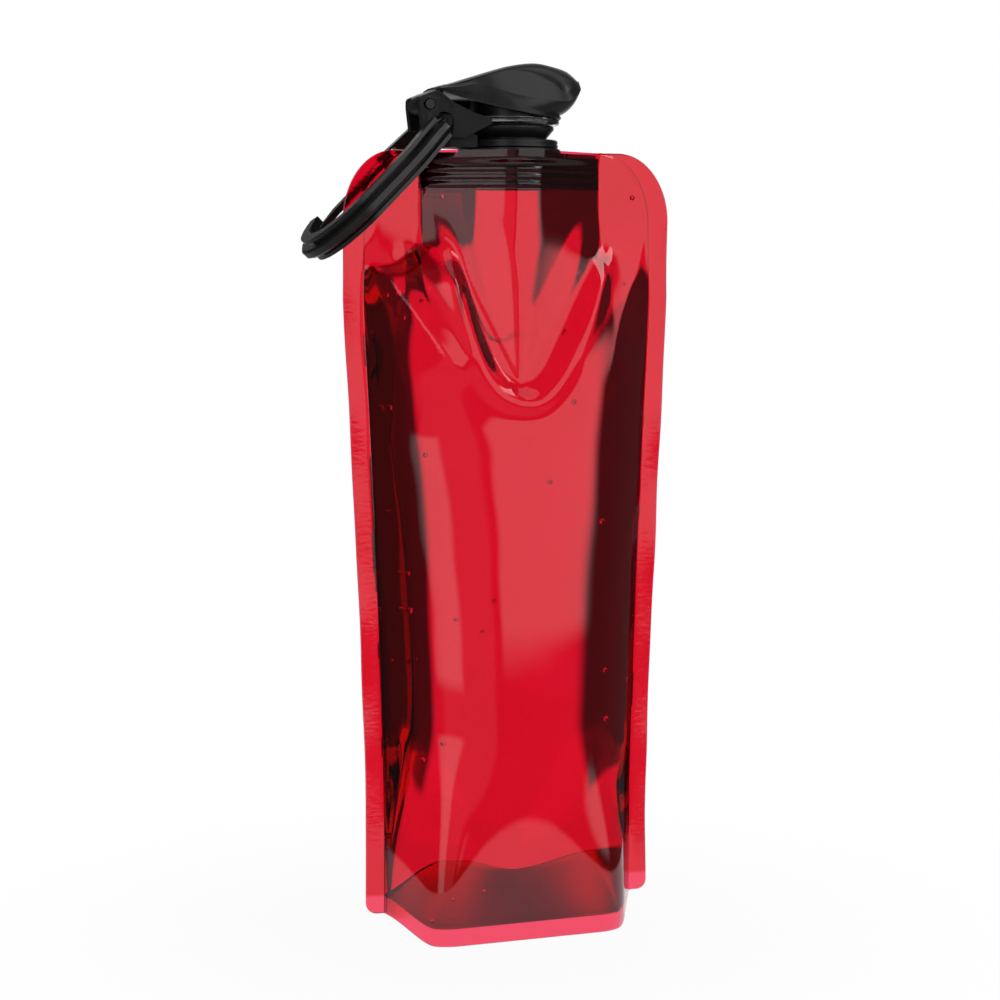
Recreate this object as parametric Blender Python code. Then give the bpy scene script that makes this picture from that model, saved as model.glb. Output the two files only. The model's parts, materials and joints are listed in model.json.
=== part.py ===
# Collapsible water bottle: a flat film pouch with a gusseted base, a welded spout fitment,
# a screw cap with a flip lid, and an oval clip loop with a gate.
# Metres, +Z up. X runs across the pouch, Y through its thickness. All shapes below are
# worked out about the neck's axis; the bottle empty then centres the whole outline.

import bpy
import bmesh
import math
from mathutils import Vector

# Film pouch
FILM = 0.0005                 # thickness of one film
GAP = 0.0003                  # clearance between pieces that touch
POUCH_TOP = 0.2700            # height of the top edge
POUCH_HALF_TOP = 0.0593       # half width at the shoulders
POUCH_HALF_BASE = 0.0523      # half width at the bottom of the side seals
TAPER_FOOT = 0.0450           # height at which the sides begin to widen
TAPER_DROP = 0.0500           # how far below the top edge they stop widening
SHOULDER_ACROSS = 0.0180      # rounded shoulder, measured across
SHOULDER_DOWN = 0.0240        # rounded shoulder, measured down
SIDE_SEAL = 0.0065            # width of the sealed strip along each side
BASE_SEAL = 0.0060            # height of the sealed skirt under the base
BASE_DEPTH = 0.0220           # middle plane to the front of the base
BASE_CORNER = 0.0340          # middle to the front corners of the base
BASE_KNEE = 0.0085            # length over which those corners are rounded
BASE_FADE = 0.0750            # height at which the base's corners have faded out
SIDE_LIFT = 0.0080            # height of the side corners above the ground
LIFT_REACH = 0.0130           # length over which the lower edge climbs to them
LIFT_FADE = 0.0800            # height at which that climb has faded out
SIDE_CORNER_RADIUS = 0.0035
BODY_DEPTH = 0.0238           # deepest half thickness of the full pouch
BODY_DEEP_AT = 0.0900         # height of that deepest place
NECK_FADE = 0.0623            # below the weld body, where the film starts to gather to it
CREASE_DROP = 0.0703          # below the weld body, lowest point of the fold in front
CREASE_SPREAD = 0.0300        # half width of that fold where it meets the spout
CREASE_SINK = 0.0050          # how far the front film sinks inside the fold
GUSSET_FOLD = 0.0150          # height of the base film's fold, above the sealed skirt
GUSSET_FOLD_ENDS = 0.0190     # the same at the fold's two ends
GUSSET_HIP = 0.0080           # how far those ends stand inside the skirt's ends
GUSSET_HANG = 1.35            # 1 for straight slopes, more where the water makes them hang

# Spout fitment, welded between the films
HULL_HALF = 0.0322            # half length of the boat-shaped weld body
HULL_RADIUS = 0.0155          # its half thickness at the middle
HULL_TIP = 0.0015             # its half thickness at the tips
HULL_TALL = 0.0107
HULL_DROP = 0.0020            # the weld body's top below the film's top edge
RIB_COUNT = 3
RIB_HEIGHT = 0.0008
SOCKET_RADIUS = 0.0109        # bore that takes the cap's plug
FLANGE_RADIUS = 0.0176
FLANGE_THICK = 0.0024
FLANGE_SWELL = 0.0030         # height over which the film spreads round the flange
TAB_WIDTH = 0.0030
TAB_REACH = 0.0008
TAB_INSET = 0.0004

# Cap
PLUG_CLEARANCE = 0.0004
PLUG_LENGTH = 0.0122          # below the collar
COLLAR_RADIUS = 0.0168
COLLAR_THICK = 0.0028
GROOVE = 0.0004               # depth and height of the line round the collar
GASKET_INNER = 0.0118
GASKET_OUTER = 0.0143
GASKET_THICK = 0.0012
CAP_BORE = 0.0094
SPOUT_WALL = 0.0014
SPOUT_WAIST = 0.0128          # outside of the mouthpiece just above the collar
SPOUT_LIP = 0.0154            # outside of its flared lip
SPOUT_RISE = 0.0048           # its lip above the collar
SPOUT_SEAT = 0.0008           # depth of its seat in the collar
SPOUT_DEPTH = 0.0110          # how far the mouthpiece reaches down into the cap

# Hinge and bracket, measured from the collar's rim and top
PIN_OUT = 0.0145
PIN_UP = 0.0112
PIN_RADIUS = 0.0016
KNUCKLE_RADIUS = 0.0034
KNUCKLE_HALF = 0.0050
BRACKET_FRONT = -0.0060       # where the bracket ends over the collar
CHEEK_REAR = 0.0039           # rear edge of the bracket, behind the pin
CHEEK_BACK_HALF = 0.0078      # half width of the bracket at its rear edge
CHEEK_TOP_FORE = 0.0025       # highest corner of the cheeks, ahead of the pin
CHEEK_TOP_UP = 0.0047
STEP_FORE = 0.0032            # where the cheek meets the wing, ahead of the loop's bar
STEP_UP = 0.0006
CHEEK_BORDER = 0.0011         # width of the raised border
PANEL_SINK = 0.0004           # depth of the cheek's face inside its border
WING_SINK = 0.0006            # depth of the wing behind the cheek
FOOT_SINK = 0.0045
SADDLE_THICK = 0.0012         # material over the loop's bar
ARCH_RELIEF = 0.0005          # how far the arch's edge keeps from the bar's own hole
WING_TIP_X = -0.0094
WING_TIP_UP = 0.0058
WING_THICK = 0.0022

# Lid
LID_RIM_RADIUS = 0.0177
LID_RIM_UP = 0.0024           # the rim at the front, above the mouthpiece's lip
LID_RIM_RISE = 0.0088         # how much higher it lies at the hinge
RIM_BEAD = 0.0003
NOSE_ROUND = 0.0050           # how far the round nose reaches back over the lid
LID_REAR = 0.0036             # the lid's rear edge, ahead of the pin
LID_TIP = 0.0257
LID_TALL = 0.0193
LID_WALL = 0.0013
LID_OPEN_DEGREES = 115.0
SEAL_RADIUS = 0.0173
SEAL_HOLE = 0.0095
SEAL_THICK = 0.0018
SEAL_STEP = 0.0006            # raised ring of the seal, under its carrier
CARRIER_RADIUS = 0.0135
CARRIER_TALL = 0.0058

# Clip loop
LOOP_OUT = 0.0100             # its bar, measured from the collar's rim and top
LOOP_UP = 0.0054
LOOP_TILT_DEGREES = 45.0      # how far the loop hangs below level
LOOP_REACH = 0.0636
LOOP_ROOT_HALF = 0.0141
LOOP_HALF = 0.0187
LOOP_SWING_DEGREES = 65.0
BOW_START = 0.0400            # along the loop from the bar
BAR_RADIUS = 0.0025
RIB_HALF = 0.0043             # half thickness of the loop, rib to rib
RIB_THICK = 0.0013
CORE_HALF = 0.0018
CORE_OUT = 0.0044             # how far the middle rib stands out of the centre line
CORE_BEVEL = 0.0008
RIB_OUT = 0.0018              # how far the edge ribs stand out of it
GROOVE_FLOOR = 0.0006         # how far the grooves' floor lies inside it
LOOP_IN = 0.0022              # centre line to the loop's inner face
GATE_THICK = 0.0022
GATE_DEPTH = 0.0038
GATE_PIN_AT = 0.0155          # along the loop from the bar
GATE_END_AT = 0.0480
GATE_PIN_RADIUS = 0.0010
GATE_OPEN_DEGREES = 20.0
FORK_END_AT = 0.0190
FORK_HALF = 0.0026            # half thickness of the far root
LATCH_DEPTH = 0.0025
SPRING_WIRE = 0.0004
SPRING_TURNS = 2.0

# Fineness of the curved faces
ROUND_STEPS = 40
FILM_COLUMNS = 24
FILM_ROWS = 22
SHOULDER_ROWS = 7

# Heights up the neck, each from the one below it
HULL_TOP = POUCH_TOP - HULL_DROP
HULL_LOW = HULL_TOP - HULL_TALL
CREASE_LOW = HULL_LOW - CREASE_DROP
FLANGE_LOW = HULL_TOP + GAP
FLANGE_TOP = FLANGE_LOW + FLANGE_THICK
COLLAR_LOW = FLANGE_TOP + GAP
COLLAR_TOP = COLLAR_LOW + COLLAR_THICK
PLUG_RADIUS = SOCKET_RADIUS - PLUG_CLEARANCE
PLUG_LOW = COLLAR_LOW - PLUG_LENGTH
SPOUT_TOP = COLLAR_TOP + SPOUT_RISE
SEAL_LOW = SPOUT_TOP + GAP
CARRIER_LOW = SEAL_LOW + SEAL_THICK + SEAL_STEP + GAP
CARRIER_TOP = CARRIER_LOW + CARRIER_TALL
LID_RIM_LOW = SPOUT_TOP + LID_RIM_UP
LID_TOP = LID_RIM_LOW + LID_TALL

# Places of the hinge and the clip loop
PIN = Vector((-COLLAR_RADIUS - PIN_OUT, 0, COLLAR_TOP + PIN_UP))
LOOP_PIVOT = Vector((-COLLAR_RADIUS - LOOP_OUT, 0, COLLAR_TOP + LOOP_UP))
ARCH_RADIUS = BAR_RADIUS + GAP + ARCH_RELIEF
CHEEK_BACK = PIN.x - CHEEK_REAR
CHEEK_TOP_X = PIN.x + CHEEK_TOP_FORE
CHEEK_TOP_Z = PIN.z + CHEEK_TOP_UP
STEP_X = LOOP_PIVOT.x + STEP_FORE
STEP_Z = PIN.z + STEP_UP
WING_TIP_Z = COLLAR_TOP + WING_TIP_UP
LID_BACK = PIN.x + LID_REAR
TILT = math.radians(LOOP_TILT_DEGREES)
ALONG = Vector((-math.cos(TILT), 0, -math.sin(TILT)))
ACROSS = Vector((-math.sin(TILT), 0, math.cos(TILT)))
LOOP_TIP_X = LOOP_PIVOT.x + ALONG.x * (LOOP_REACH - CORE_OUT + RIB_OUT) + ACROSS.x * RIB_HALF
OUTLINE_MIDDLE_X = (LOOP_TIP_X + POUCH_HALF_TOP) / 2


# Helpers

def smooth(edge0, edge1, value):
    """0 before edge0, 1 after edge1, an S curve between."""
    t = min(1.0, max(0.0, (value - edge0) / (edge1 - edge0)))
    return t * t * (3 - 2 * t)


def through(points, x):
    """Height at x of a smooth curve through a few (x, height) points."""
    for (x0, y0), (x1, y1) in zip(points, points[1:]):
        if x <= x1:
            break
    index = points.index((x0, y0))
    before = points[max(0, index - 1)]
    after = points[min(len(points) - 1, index + 2)]
    slope0 = (y1 - before[1]) / (x1 - before[0])
    slope1 = (after[1] - y0) / (after[0] - x0)
    t = min(1.0, max(0.0, (x - x0) / (x1 - x0)))
    width = x1 - x0
    return ((2 * t**3 - 3 * t**2 + 1) * y0 + (t**3 - 2 * t**2 + t) * width * slope0
            + (3 * t**2 - 2 * t**3) * y1 + (t**3 - t**2) * width * slope1)


def material(name, colour, roughness, metallic=0.0, alpha=1.0):
    finish = bpy.data.materials.new(name)
    finish.use_nodes = True
    shader = finish.node_tree.nodes["Principled BSDF"]
    shader.inputs["Base Color"].default_value = (*colour, 1.0)
    shader.inputs["Roughness"].default_value = roughness
    shader.inputs["Metallic"].default_value = metallic
    shader.inputs["Alpha"].default_value = alpha
    return finish


def add_object(name, bm, finish, parent=None, pivot=Vector((0, 0, 0)), sharp=35.0):
    """Mesh about the neck's axis becomes an object whose origin is its pivot."""
    bmesh.ops.remove_doubles(bm, verts=bm.verts, dist=1e-6)
    bmesh.ops.recalc_face_normals(bm, faces=bm.faces)
    bmesh.ops.translate(bm, verts=bm.verts, vec=-pivot)
    mesh = bpy.data.meshes.new(name)
    bm.to_mesh(mesh)
    bm.free()
    mesh.shade_smooth()
    mesh.set_sharp_from_angle(angle=math.radians(sharp))
    obj = bpy.data.objects.new(name, mesh)
    bpy.context.collection.objects.link(obj)
    obj.location = pivot
    if finish:
        mesh.materials.append(finish)
    if parent:
        obj.parent = parent
        obj.location = pivot - (parent.location if parent.parent else Vector((0, 0, 0)))
    return obj


def add_empty(name, location, parent=None):
    empty = bpy.data.objects.new(name, None)
    empty.location = location
    empty.parent = parent
    bpy.context.collection.objects.link(empty)
    return empty


def boolean(target, tool, operation="DIFFERENCE"):
    cut = target.modifiers.new(tool.name, "BOOLEAN")
    cut.operation = operation
    cut.object = tool
    cut.solver = "EXACT"


def guide(name, bm, parent):
    """A cutter or a shape to be joined, removed once it has been used."""
    obj = add_object(name, bm, None, parent)
    obj.hide_render = True
    obj.display_type = "WIRE"
    return obj


def settle(obj, sharp=30.0):
    """Keeps the result of the cuts as the object's mesh and removes the cutters."""
    tools = [cut.object for cut in obj.modifiers]
    for tool in tools:
        if tool.modifiers:
            settle(tool)
    bpy.context.view_layer.update()
    graph = bpy.context.evaluated_depsgraph_get()
    shape = bpy.data.meshes.new_from_object(obj.evaluated_get(graph))
    obj.modifiers.clear()
    finish = obj.data.materials[:]
    obj.data = shape
    shape.materials.clear()
    for entry in finish:
        shape.materials.append(entry)
    shape.shade_smooth()
    shape.set_sharp_from_angle(angle=math.radians(sharp))
    for tool in tools:
        bpy.data.objects.remove(tool)
    return obj


def skin(rings, loop=False, ribbon_ends=False):
    """Faces between rings of equal point counts, with caps at the ends."""
    bm = bmesh.new()
    rows = [[bm.verts.new(point) for point in ring] for ring in rings]
    count = len(rows[0])
    pairs = list(zip(rows, rows[1:]))
    if loop:
        pairs.append((rows[-1], rows[0]))
    for low, high in pairs:
        for k in range(count):
            j = (k + 1) % count
            bm.faces.new((low[k], low[j], high[j], high[k]))
    if ribbon_ends:
        for row in (rows[0], rows[-1]):
            bm.faces.new([row[k] for k in range(-3, 4)])
            for k in range(3, count // 2):
                bm.faces.new(dict.fromkeys((row[k], row[k + 1], row[-k - 1], row[-k])))
    elif not loop:
        bm.faces.new(rows[0][::-1])
        bm.faces.new(rows[-1])
    return bm


def lathe(profile, steps=ROUND_STEPS, centre=(0.0, 0.0)):
    """Turns a closed (radius, height) outline about a vertical axis."""
    rings = []
    for step in range(steps):
        angle = 2 * math.pi * step / steps
        rings.append([(centre[0] + r * math.cos(angle), centre[1] + r * math.sin(angle), z)
                      for r, z in profile])
    return skin(rings, loop=True)


def prism(outline, low, high, axis="Y"):
    """Extrudes a flat outline: (x, z) along Y, or (x, y) along Z."""
    bm = bmesh.new()
    if axis == "Y":
        verts = [bm.verts.new((a, low, b)) for a, b in outline]
        move = Vector((0, high - low, 0))
    else:
        verts = [bm.verts.new((a, b, low)) for a, b in outline]
        move = Vector((0, 0, high - low))
    face = bm.faces.new(verts)
    grown = bmesh.ops.extrude_face_region(bm, geom=[face])
    moved = [item for item in grown["geom"] if isinstance(item, bmesh.types.BMVert)]
    bmesh.ops.translate(bm, verts=moved, vec=move)
    return bm


def rod(start, end, radius, steps=20):
    """A cylinder between two points."""
    axis = (end - start).normalized()
    side = axis.orthogonal().normalized()
    other = axis.cross(side)
    rings = []
    for centre in (start, end):
        rings.append([centre + radius * (math.cos(t) * side + math.sin(t) * other)
                      for t in (2 * math.pi * k / steps for k in range(steps))])
    return skin(rings)


# Pouch

def pouch_half_width(height):
    """Half width of the flat outline at a height."""
    share = min(1.0, max(0.0, (height - TAPER_FOOT) / (POUCH_TOP - TAPER_DROP - TAPER_FOOT)))
    half = POUCH_HALF_BASE + (POUCH_HALF_TOP - POUCH_HALF_BASE) * share ** 1.3
    shoulder = height - (POUCH_TOP - SHOULDER_DOWN)
    if shoulder > 0:
        drop = min(1.0, shoulder / SHOULDER_DOWN)
        half -= SHOULDER_ACROSS * (1 - math.sqrt(1 - drop * drop))
    return half


def corner_round(height):
    """How far the side seal's outer edge draws in at its bottom corner."""
    rise = SIDE_CORNER_RADIUS - min(height, SIDE_CORNER_RADIUS)
    return SIDE_CORNER_RADIUS - math.sqrt(SIDE_CORNER_RADIUS**2 - rise**2)


def pouch_depth(height):
    """Middle plane to the film at its deepest, at a height."""
    hull = HULL_RADIUS + GAP + FILM / 2
    curve = [(0.0, BASE_DEPTH), (2 * BASE_SEAL, BASE_DEPTH)]
    curve.append((0.61 * BODY_DEEP_AT, BODY_DEPTH - 0.22 * (BODY_DEPTH - BASE_DEPTH)))
    rise, drop = HULL_LOW - BODY_DEEP_AT, BODY_DEPTH - hull
    for up, drawn_in in ((0.0, 0.0), (0.21, 0.13), (0.42, 0.41), (0.60, 0.68), (0.81, 0.92), (1.0, 1.0)):
        curve.append((BODY_DEEP_AT + up * rise, BODY_DEPTH - drawn_in * drop))
    curve.append((POUCH_TOP, hull))
    return through(curve, height)


def along_line(points, share):
    """Point at a share of the length of a polyline."""
    lengths = [math.dist(a, b) for a, b in zip(points, points[1:])]
    rest = share * sum(lengths)
    for (a, b), length in zip(zip(points, points[1:]), lengths):
        if rest <= length:
            part = rest / length
            return (a[0] + (b[0] - a[0]) * part, a[1] + (b[1] - a[1]) * part)
        rest -= length
    return points[-1]


def lens_section(half, depth, share):
    """Full pouch: a circular arc from the seal (share 0) to the middle (share 1)."""
    radius = (half * half + depth * depth) / (2 * depth)
    swing = math.asin(min(1.0, half / radius)) * (1 - share)
    return (radius * math.sin(swing), radius * math.cos(swing) - (radius - depth))


def base_section(half, depth, share, corner=BASE_CORNER):
    """Base: straight from the seal to the front corner, then straight across."""
    leg = math.hypot(half - corner, depth)
    lead = ((half - corner) * BASE_KNEE / leg, depth * BASE_KNEE / leg)
    start = (corner + lead[0], depth - lead[1])
    end = (corner - BASE_KNEE, depth)
    bend = [start]
    for k in range(1, 6):
        t = k / 6
        bend.append(tuple((1 - t)**2 * a + 2 * t * (1 - t) * b + t * t * c
                          for a, b, c in zip(start, (corner, depth), end)))
    return along_line([(half, 0.0), *bend, end, (0.0, depth)], share)


def hull_outline(extra):
    """Quarter outline of the weld body, from its tip to its middle, grown by extra."""
    touch = 0.0
    for _ in range(20):
        y = math.sqrt(HULL_RADIUS**2 - touch**2)
        touch = (HULL_RADIUS**2 - HULL_TIP * y) / HULL_HALF
    points = [(HULL_HALF + extra, 0.0), (HULL_HALF + extra, HULL_TIP + extra * 0.6)]
    first = math.asin(touch / HULL_RADIUS)
    for k in range(4):
        angle = first * (1 - k / 3)
        points.append(((HULL_RADIUS + extra) * math.sin(angle), (HULL_RADIUS + extra) * math.cos(angle)))
    return points


def spout_section(half, share, height):
    """Top: flat to the weld body's tip, along the body and round the flange above it."""
    body = hull_outline(GAP + FILM / 2)[1:]
    swell = smooth(HULL_TOP - FLANGE_SWELL, HULL_TOP - GAP, height)
    flange = FLANGE_RADIUS + GAP + FILM / 2
    grown = []
    for x, y in body:
        wide = math.sqrt(max(0.0, flange**2 - x * x))
        grown.append((x, y + swell * max(0.0, wide - y)))
    return along_line([(half, 0.0), *grown], share)


def fold_sink(x, height):
    """How far the front film sinks inside the fold under the spout."""
    if height <= CREASE_LOW or height >= HULL_LOW:
        return 0.0
    rise = (height - CREASE_LOW) / (HULL_LOW - CREASE_LOW)
    half = CREASE_SPREAD * rise ** 0.64
    inside = max(0.0, 1 - (x / half) ** 2)
    return CREASE_SINK * math.sqrt(inside) * smooth(0, 0.18, rise) * (1 - smooth(0.35, 1.0, rise))


def side_lift(x):
    """The lower edge climbs from the front corners to the side seals."""
    return SIDE_LIFT * smooth(BASE_CORNER - 0.0005, BASE_CORNER + LIFT_REACH, abs(x))


def film_point(across, height, side):
    """Point of a film's middle surface. across is -1 to 1; side is -1 in front, 1 behind."""
    half = pouch_half_width(height)
    flat = GAP / 2 + FILM / 2
    seal_share = SIDE_SEAL / POUCH_HALF_TOP
    reach = abs(across)
    inner = half - SIDE_SEAL
    if reach > 1 - seal_share:
        seal = SIDE_SEAL - corner_round(height)
        x, y = inner + seal * (reach - 1 + seal_share) / seal_share, 0.0
    else:
        share = 1 - reach / (1 - seal_share)
        depth = pouch_depth(height) - flat
        base = 1 - smooth(BASE_SEAL, BASE_FADE, height)
        top = smooth(HULL_LOW - NECK_FADE, HULL_LOW - 4 * GAP, height)
        x, y = lens_section(inner, depth, share)
        bx, by = base_section(inner, depth, share)
        x, y = x + (bx - x) * base, y + (by - y) * base
        tx, ty = spout_section(inner, share, height)
        ty = max(0.0, ty - flat)
        x, y = x + (tx - x) * top, y + (ty - y) * top
    x = math.copysign(x, across)
    y += flat
    if side < 0:
        y -= fold_sink(x, height)
    lift = side_lift(x) * (1 - smooth(0.0, LIFT_FADE, height))
    return Vector((x, side * y, height + lift))


def film_rows():
    """Row heights: even up the body, closer round the shoulders."""
    body_top = POUCH_TOP - SHOULDER_DOWN
    rows = [SIDE_CORNER_RADIUS * (1 - math.cos(math.pi / 2 * k / 3)) for k in range(4)]
    first = SIDE_CORNER_RADIUS + SIDE_SEAL * 0.7
    rows += [first + (body_top - first) * k / (FILM_ROWS - 1) for k in range(FILM_ROWS)]
    swell_low, swell_high = HULL_TOP - FLANGE_SWELL, HULL_TOP - GAP
    for k in range(1, SHOULDER_ROWS):
        height = body_top + SHOULDER_DOWN * math.sin(math.pi / 2 * k / SHOULDER_ROWS)
        if height < swell_low - 0.0010:
            rows.append(height)
    return rows + [swell_low, (swell_low + swell_high) / 2, swell_high,
                   POUCH_TOP - 0.025 * SHOULDER_DOWN, POUCH_TOP]


def film_panel(name, side, finish, parent):
    """One film: a grid of its middle surface, thickened."""
    edge = SIDE_SEAL / POUCH_HALF_TOP
    inner = [-(1 - edge) + 2 * (1 - edge) * k / FILM_COLUMNS for k in range(FILM_COLUMNS + 1)]
    columns = [-1.0, *inner, 1.0]
    bm = bmesh.new()
    grid = [[bm.verts.new(film_point(a, h, side)) for a in columns] for h in film_rows()]
    for low, high in zip(grid, grid[1:]):
        for k in range(len(columns) - 1):
            bm.faces.new((low[k], low[k + 1], high[k + 1], high[k]))
    panel = add_object(name, bm, finish, parent)
    wall = panel.modifiers.new("film_thickness", "SOLIDIFY")
    wall.thickness = FILM
    wall.offset = 0.0
    wall.use_even_offset = True
    return panel


def gusset_ridge(x):
    """Height of the base film's fold along its length."""
    return GUSSET_FOLD + (GUSSET_FOLD_ENDS - GUSSET_FOLD) * smooth(0.0, BASE_CORNER, abs(x))


def base_film(finish, parent):
    """Bottom gusset: a skirt inside the two films, and between them a fold that points up."""
    inset = FILM + GAP + GAP / 2
    half = POUCH_HALF_BASE - SIDE_SEAL
    run = half - BASE_CORNER
    across = inset * math.hypot(run, BASE_DEPTH) / BASE_DEPTH
    corner = BASE_CORNER - across + inset * run / BASE_DEPTH
    steps = FILM_COLUMNS // 2
    quarter = [base_section(half - across, BASE_DEPTH - inset, k / steps, corner)
               for k in range(steps + 1)]
    loop = quarter[:-1] + [(-x, y) for x, y in quarter[::-1]][:-1]
    loop += [(-x, -y) for x, y in quarter[:-1]] + [(x, -y) for x, y in quarter[::-1]][:-1]

    rings = [[(x, y, side_lift(x)) for x, y in loop]]
    rings.append([(x, y, side_lift(x) + BASE_SEAL) for x, y in loop])
    for share in (0.90, 0.70, 0.48, 0.26, 0.06):
        drawn_in = 1 - GUSSET_HIP / (half - across) * (1 - share)
        risen = (1 - share) ** GUSSET_HANG
        rings.append([(x * drawn_in, y * share,
                       BASE_SEAL + side_lift(x) * share + gusset_ridge(x) * risen) for x, y in loop])
    bm = skin(rings, ribbon_ends=True)
    bm.verts.index_update()
    below = [face for face in bm.faces if all(vert.index < len(loop) for vert in face.verts)]
    bmesh.ops.delete(bm, geom=below, context="FACES")
    panel = add_object("base_gusset_film", bm, finish, parent)
    wall = panel.modifiers.new("film_thickness", "SOLIDIFY")
    wall.thickness = FILM
    wall.offset = 0.0
    wall.use_even_offset = True
    return panel


# Spout fitment

def spout_fitment(finish, parent):
    """Ribbed boat-shaped weld body with the socket's flange on top."""
    quarter = hull_outline(0.0)[1:]

    def ring(sunk, z):
        side = [(x, y - sunk, z) for x, y in quarter]
        back = [(-x, y, z) for x, y, z in side[::-1]][1:]
        return side + back + [(-x, -y, z) for x, y, z in side] + [(-x, -y, z) for x, y, z in back]

    pitch = (HULL_TOP - HULL_LOW) / (2 * RIB_COUNT + 1)
    levels = []
    for k in range(2 * RIB_COUNT + 1):
        sunk = 0.0 if k % 2 == 0 else RIB_HEIGHT
        levels += [(sunk, HULL_LOW + pitch * (k + 0.12)), (sunk, HULL_LOW + pitch * (k + 0.88))]
    levels = [(0.0, HULL_LOW), *levels[1:-1], (0.0, HULL_TOP)]
    body = add_object("spout_fitment", skin([ring(sunk, z) for sunk, z in levels]), finish, parent)
    neck = HULL_RADIUS - RIB_HEIGHT
    bore = SOCKET_RADIUS - GAP
    top = lathe([(bore, HULL_TOP - RIB_HEIGHT), (neck, HULL_TOP - RIB_HEIGHT), (neck, FLANGE_LOW),
                 (FLANGE_RADIUS, FLANGE_LOW), (FLANGE_RADIUS, FLANGE_TOP), (bore, FLANGE_TOP)])
    boolean(body, guide("fitment_flange", top, parent), "UNION")
    root, tip, half = FLANGE_RADIUS - TAB_REACH, FLANGE_RADIUS + TAB_REACH, TAB_WIDTH / 2
    tab = prism([(root, -half), (tip, -half), (tip, half), (root, half)],
                FLANGE_LOW + TAB_INSET, FLANGE_TOP - TAB_INSET, axis="Z")
    boolean(body, guide("fitment_tab", tab, parent), "UNION")
    hole = rod(Vector((0, 0, HULL_LOW - FILM)), Vector((0, 0, FLANGE_TOP + FILM)), SOCKET_RADIUS, ROUND_STEPS)
    boolean(body, guide("fitment_bore", hole, parent))
    return settle(body)


# Cap

def bracket_half(x):
    """Half width in plan of the bracket, which widens from the hinge to the collar."""
    slope = (COLLAR_RADIUS - 2 * GROOVE - CHEEK_BACK_HALF) / (BRACKET_FRONT - CHEEK_BACK)
    return CHEEK_BACK_HALF + slope * (x - CHEEK_BACK)


def bracket_wedge(name, inset, parent):
    """The bracket's plan as a tall wedge, drawn in by an inset."""
    back, front = CHEEK_BACK - CHEEK_REAR, BRACKET_FRONT
    plan = [(back, -bracket_half(back) + inset), (front, -bracket_half(front) + inset),
            (front, bracket_half(front) - inset), (back, bracket_half(back) - inset)]
    return guide(name, prism(plan, PLUG_LOW, LID_TOP, "Z"), parent)


def arc(x, z, radius, first, last, steps):
    """Points of an arc in the side view, in degrees from +X towards +Z."""
    turn = [math.radians(first + (last - first) * k / steps) for k in range(steps + 1)]
    return [(x + radius * math.cos(t), z + radius * math.sin(t)) for t in turn]


def cheek_side(inset):
    """Side outline of a hinge cheek, clockwise from its leg, drawn in by an inset."""
    arch = ARCH_RADIUS + inset
    left = CHEEK_BACK + inset
    foot = LOOP_PIVOT.z - BAR_RADIUS + inset
    return ([(LOOP_PIVOT.x - arch - 0.0004, foot), (left + 0.0016, foot), (left + 0.0006, PIN.z - 0.0008)]
            + arc(left + 0.0022, PIN.z + 0.0014, 0.0016, 180, 122, 2)
            + arc(CHEEK_TOP_X, CHEEK_TOP_Z - 0.0010 - inset, 0.0010, 122, 40, 3)
            + [(STEP_X - inset, STEP_Z), (LOOP_PIVOT.x + arch * 0.75, LOOP_PIVOT.z + arch * 0.75)]
            + arc(LOOP_PIVOT.x, LOOP_PIVOT.z, arch, 48, 180, 6)[1:])


def wing_side():
    """Side outline of the wing that runs from the cheek to the collar."""
    lower = COLLAR_TOP + 0.0001
    return ([(LOOP_PIVOT.x - 0.0010, LOOP_PIVOT.z + 0.0040), (STEP_X, STEP_Z + 0.0002),
             (WING_TIP_X - 0.0080, WING_TIP_Z + 0.0029), (WING_TIP_X, WING_TIP_Z),
             (WING_TIP_X - 0.0103, lower), (LOOP_PIVOT.x + BAR_RADIUS + GAP, lower)]
            + arc(LOOP_PIVOT.x, LOOP_PIVOT.z, ARCH_RADIUS, -10, 110, 6))


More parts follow.
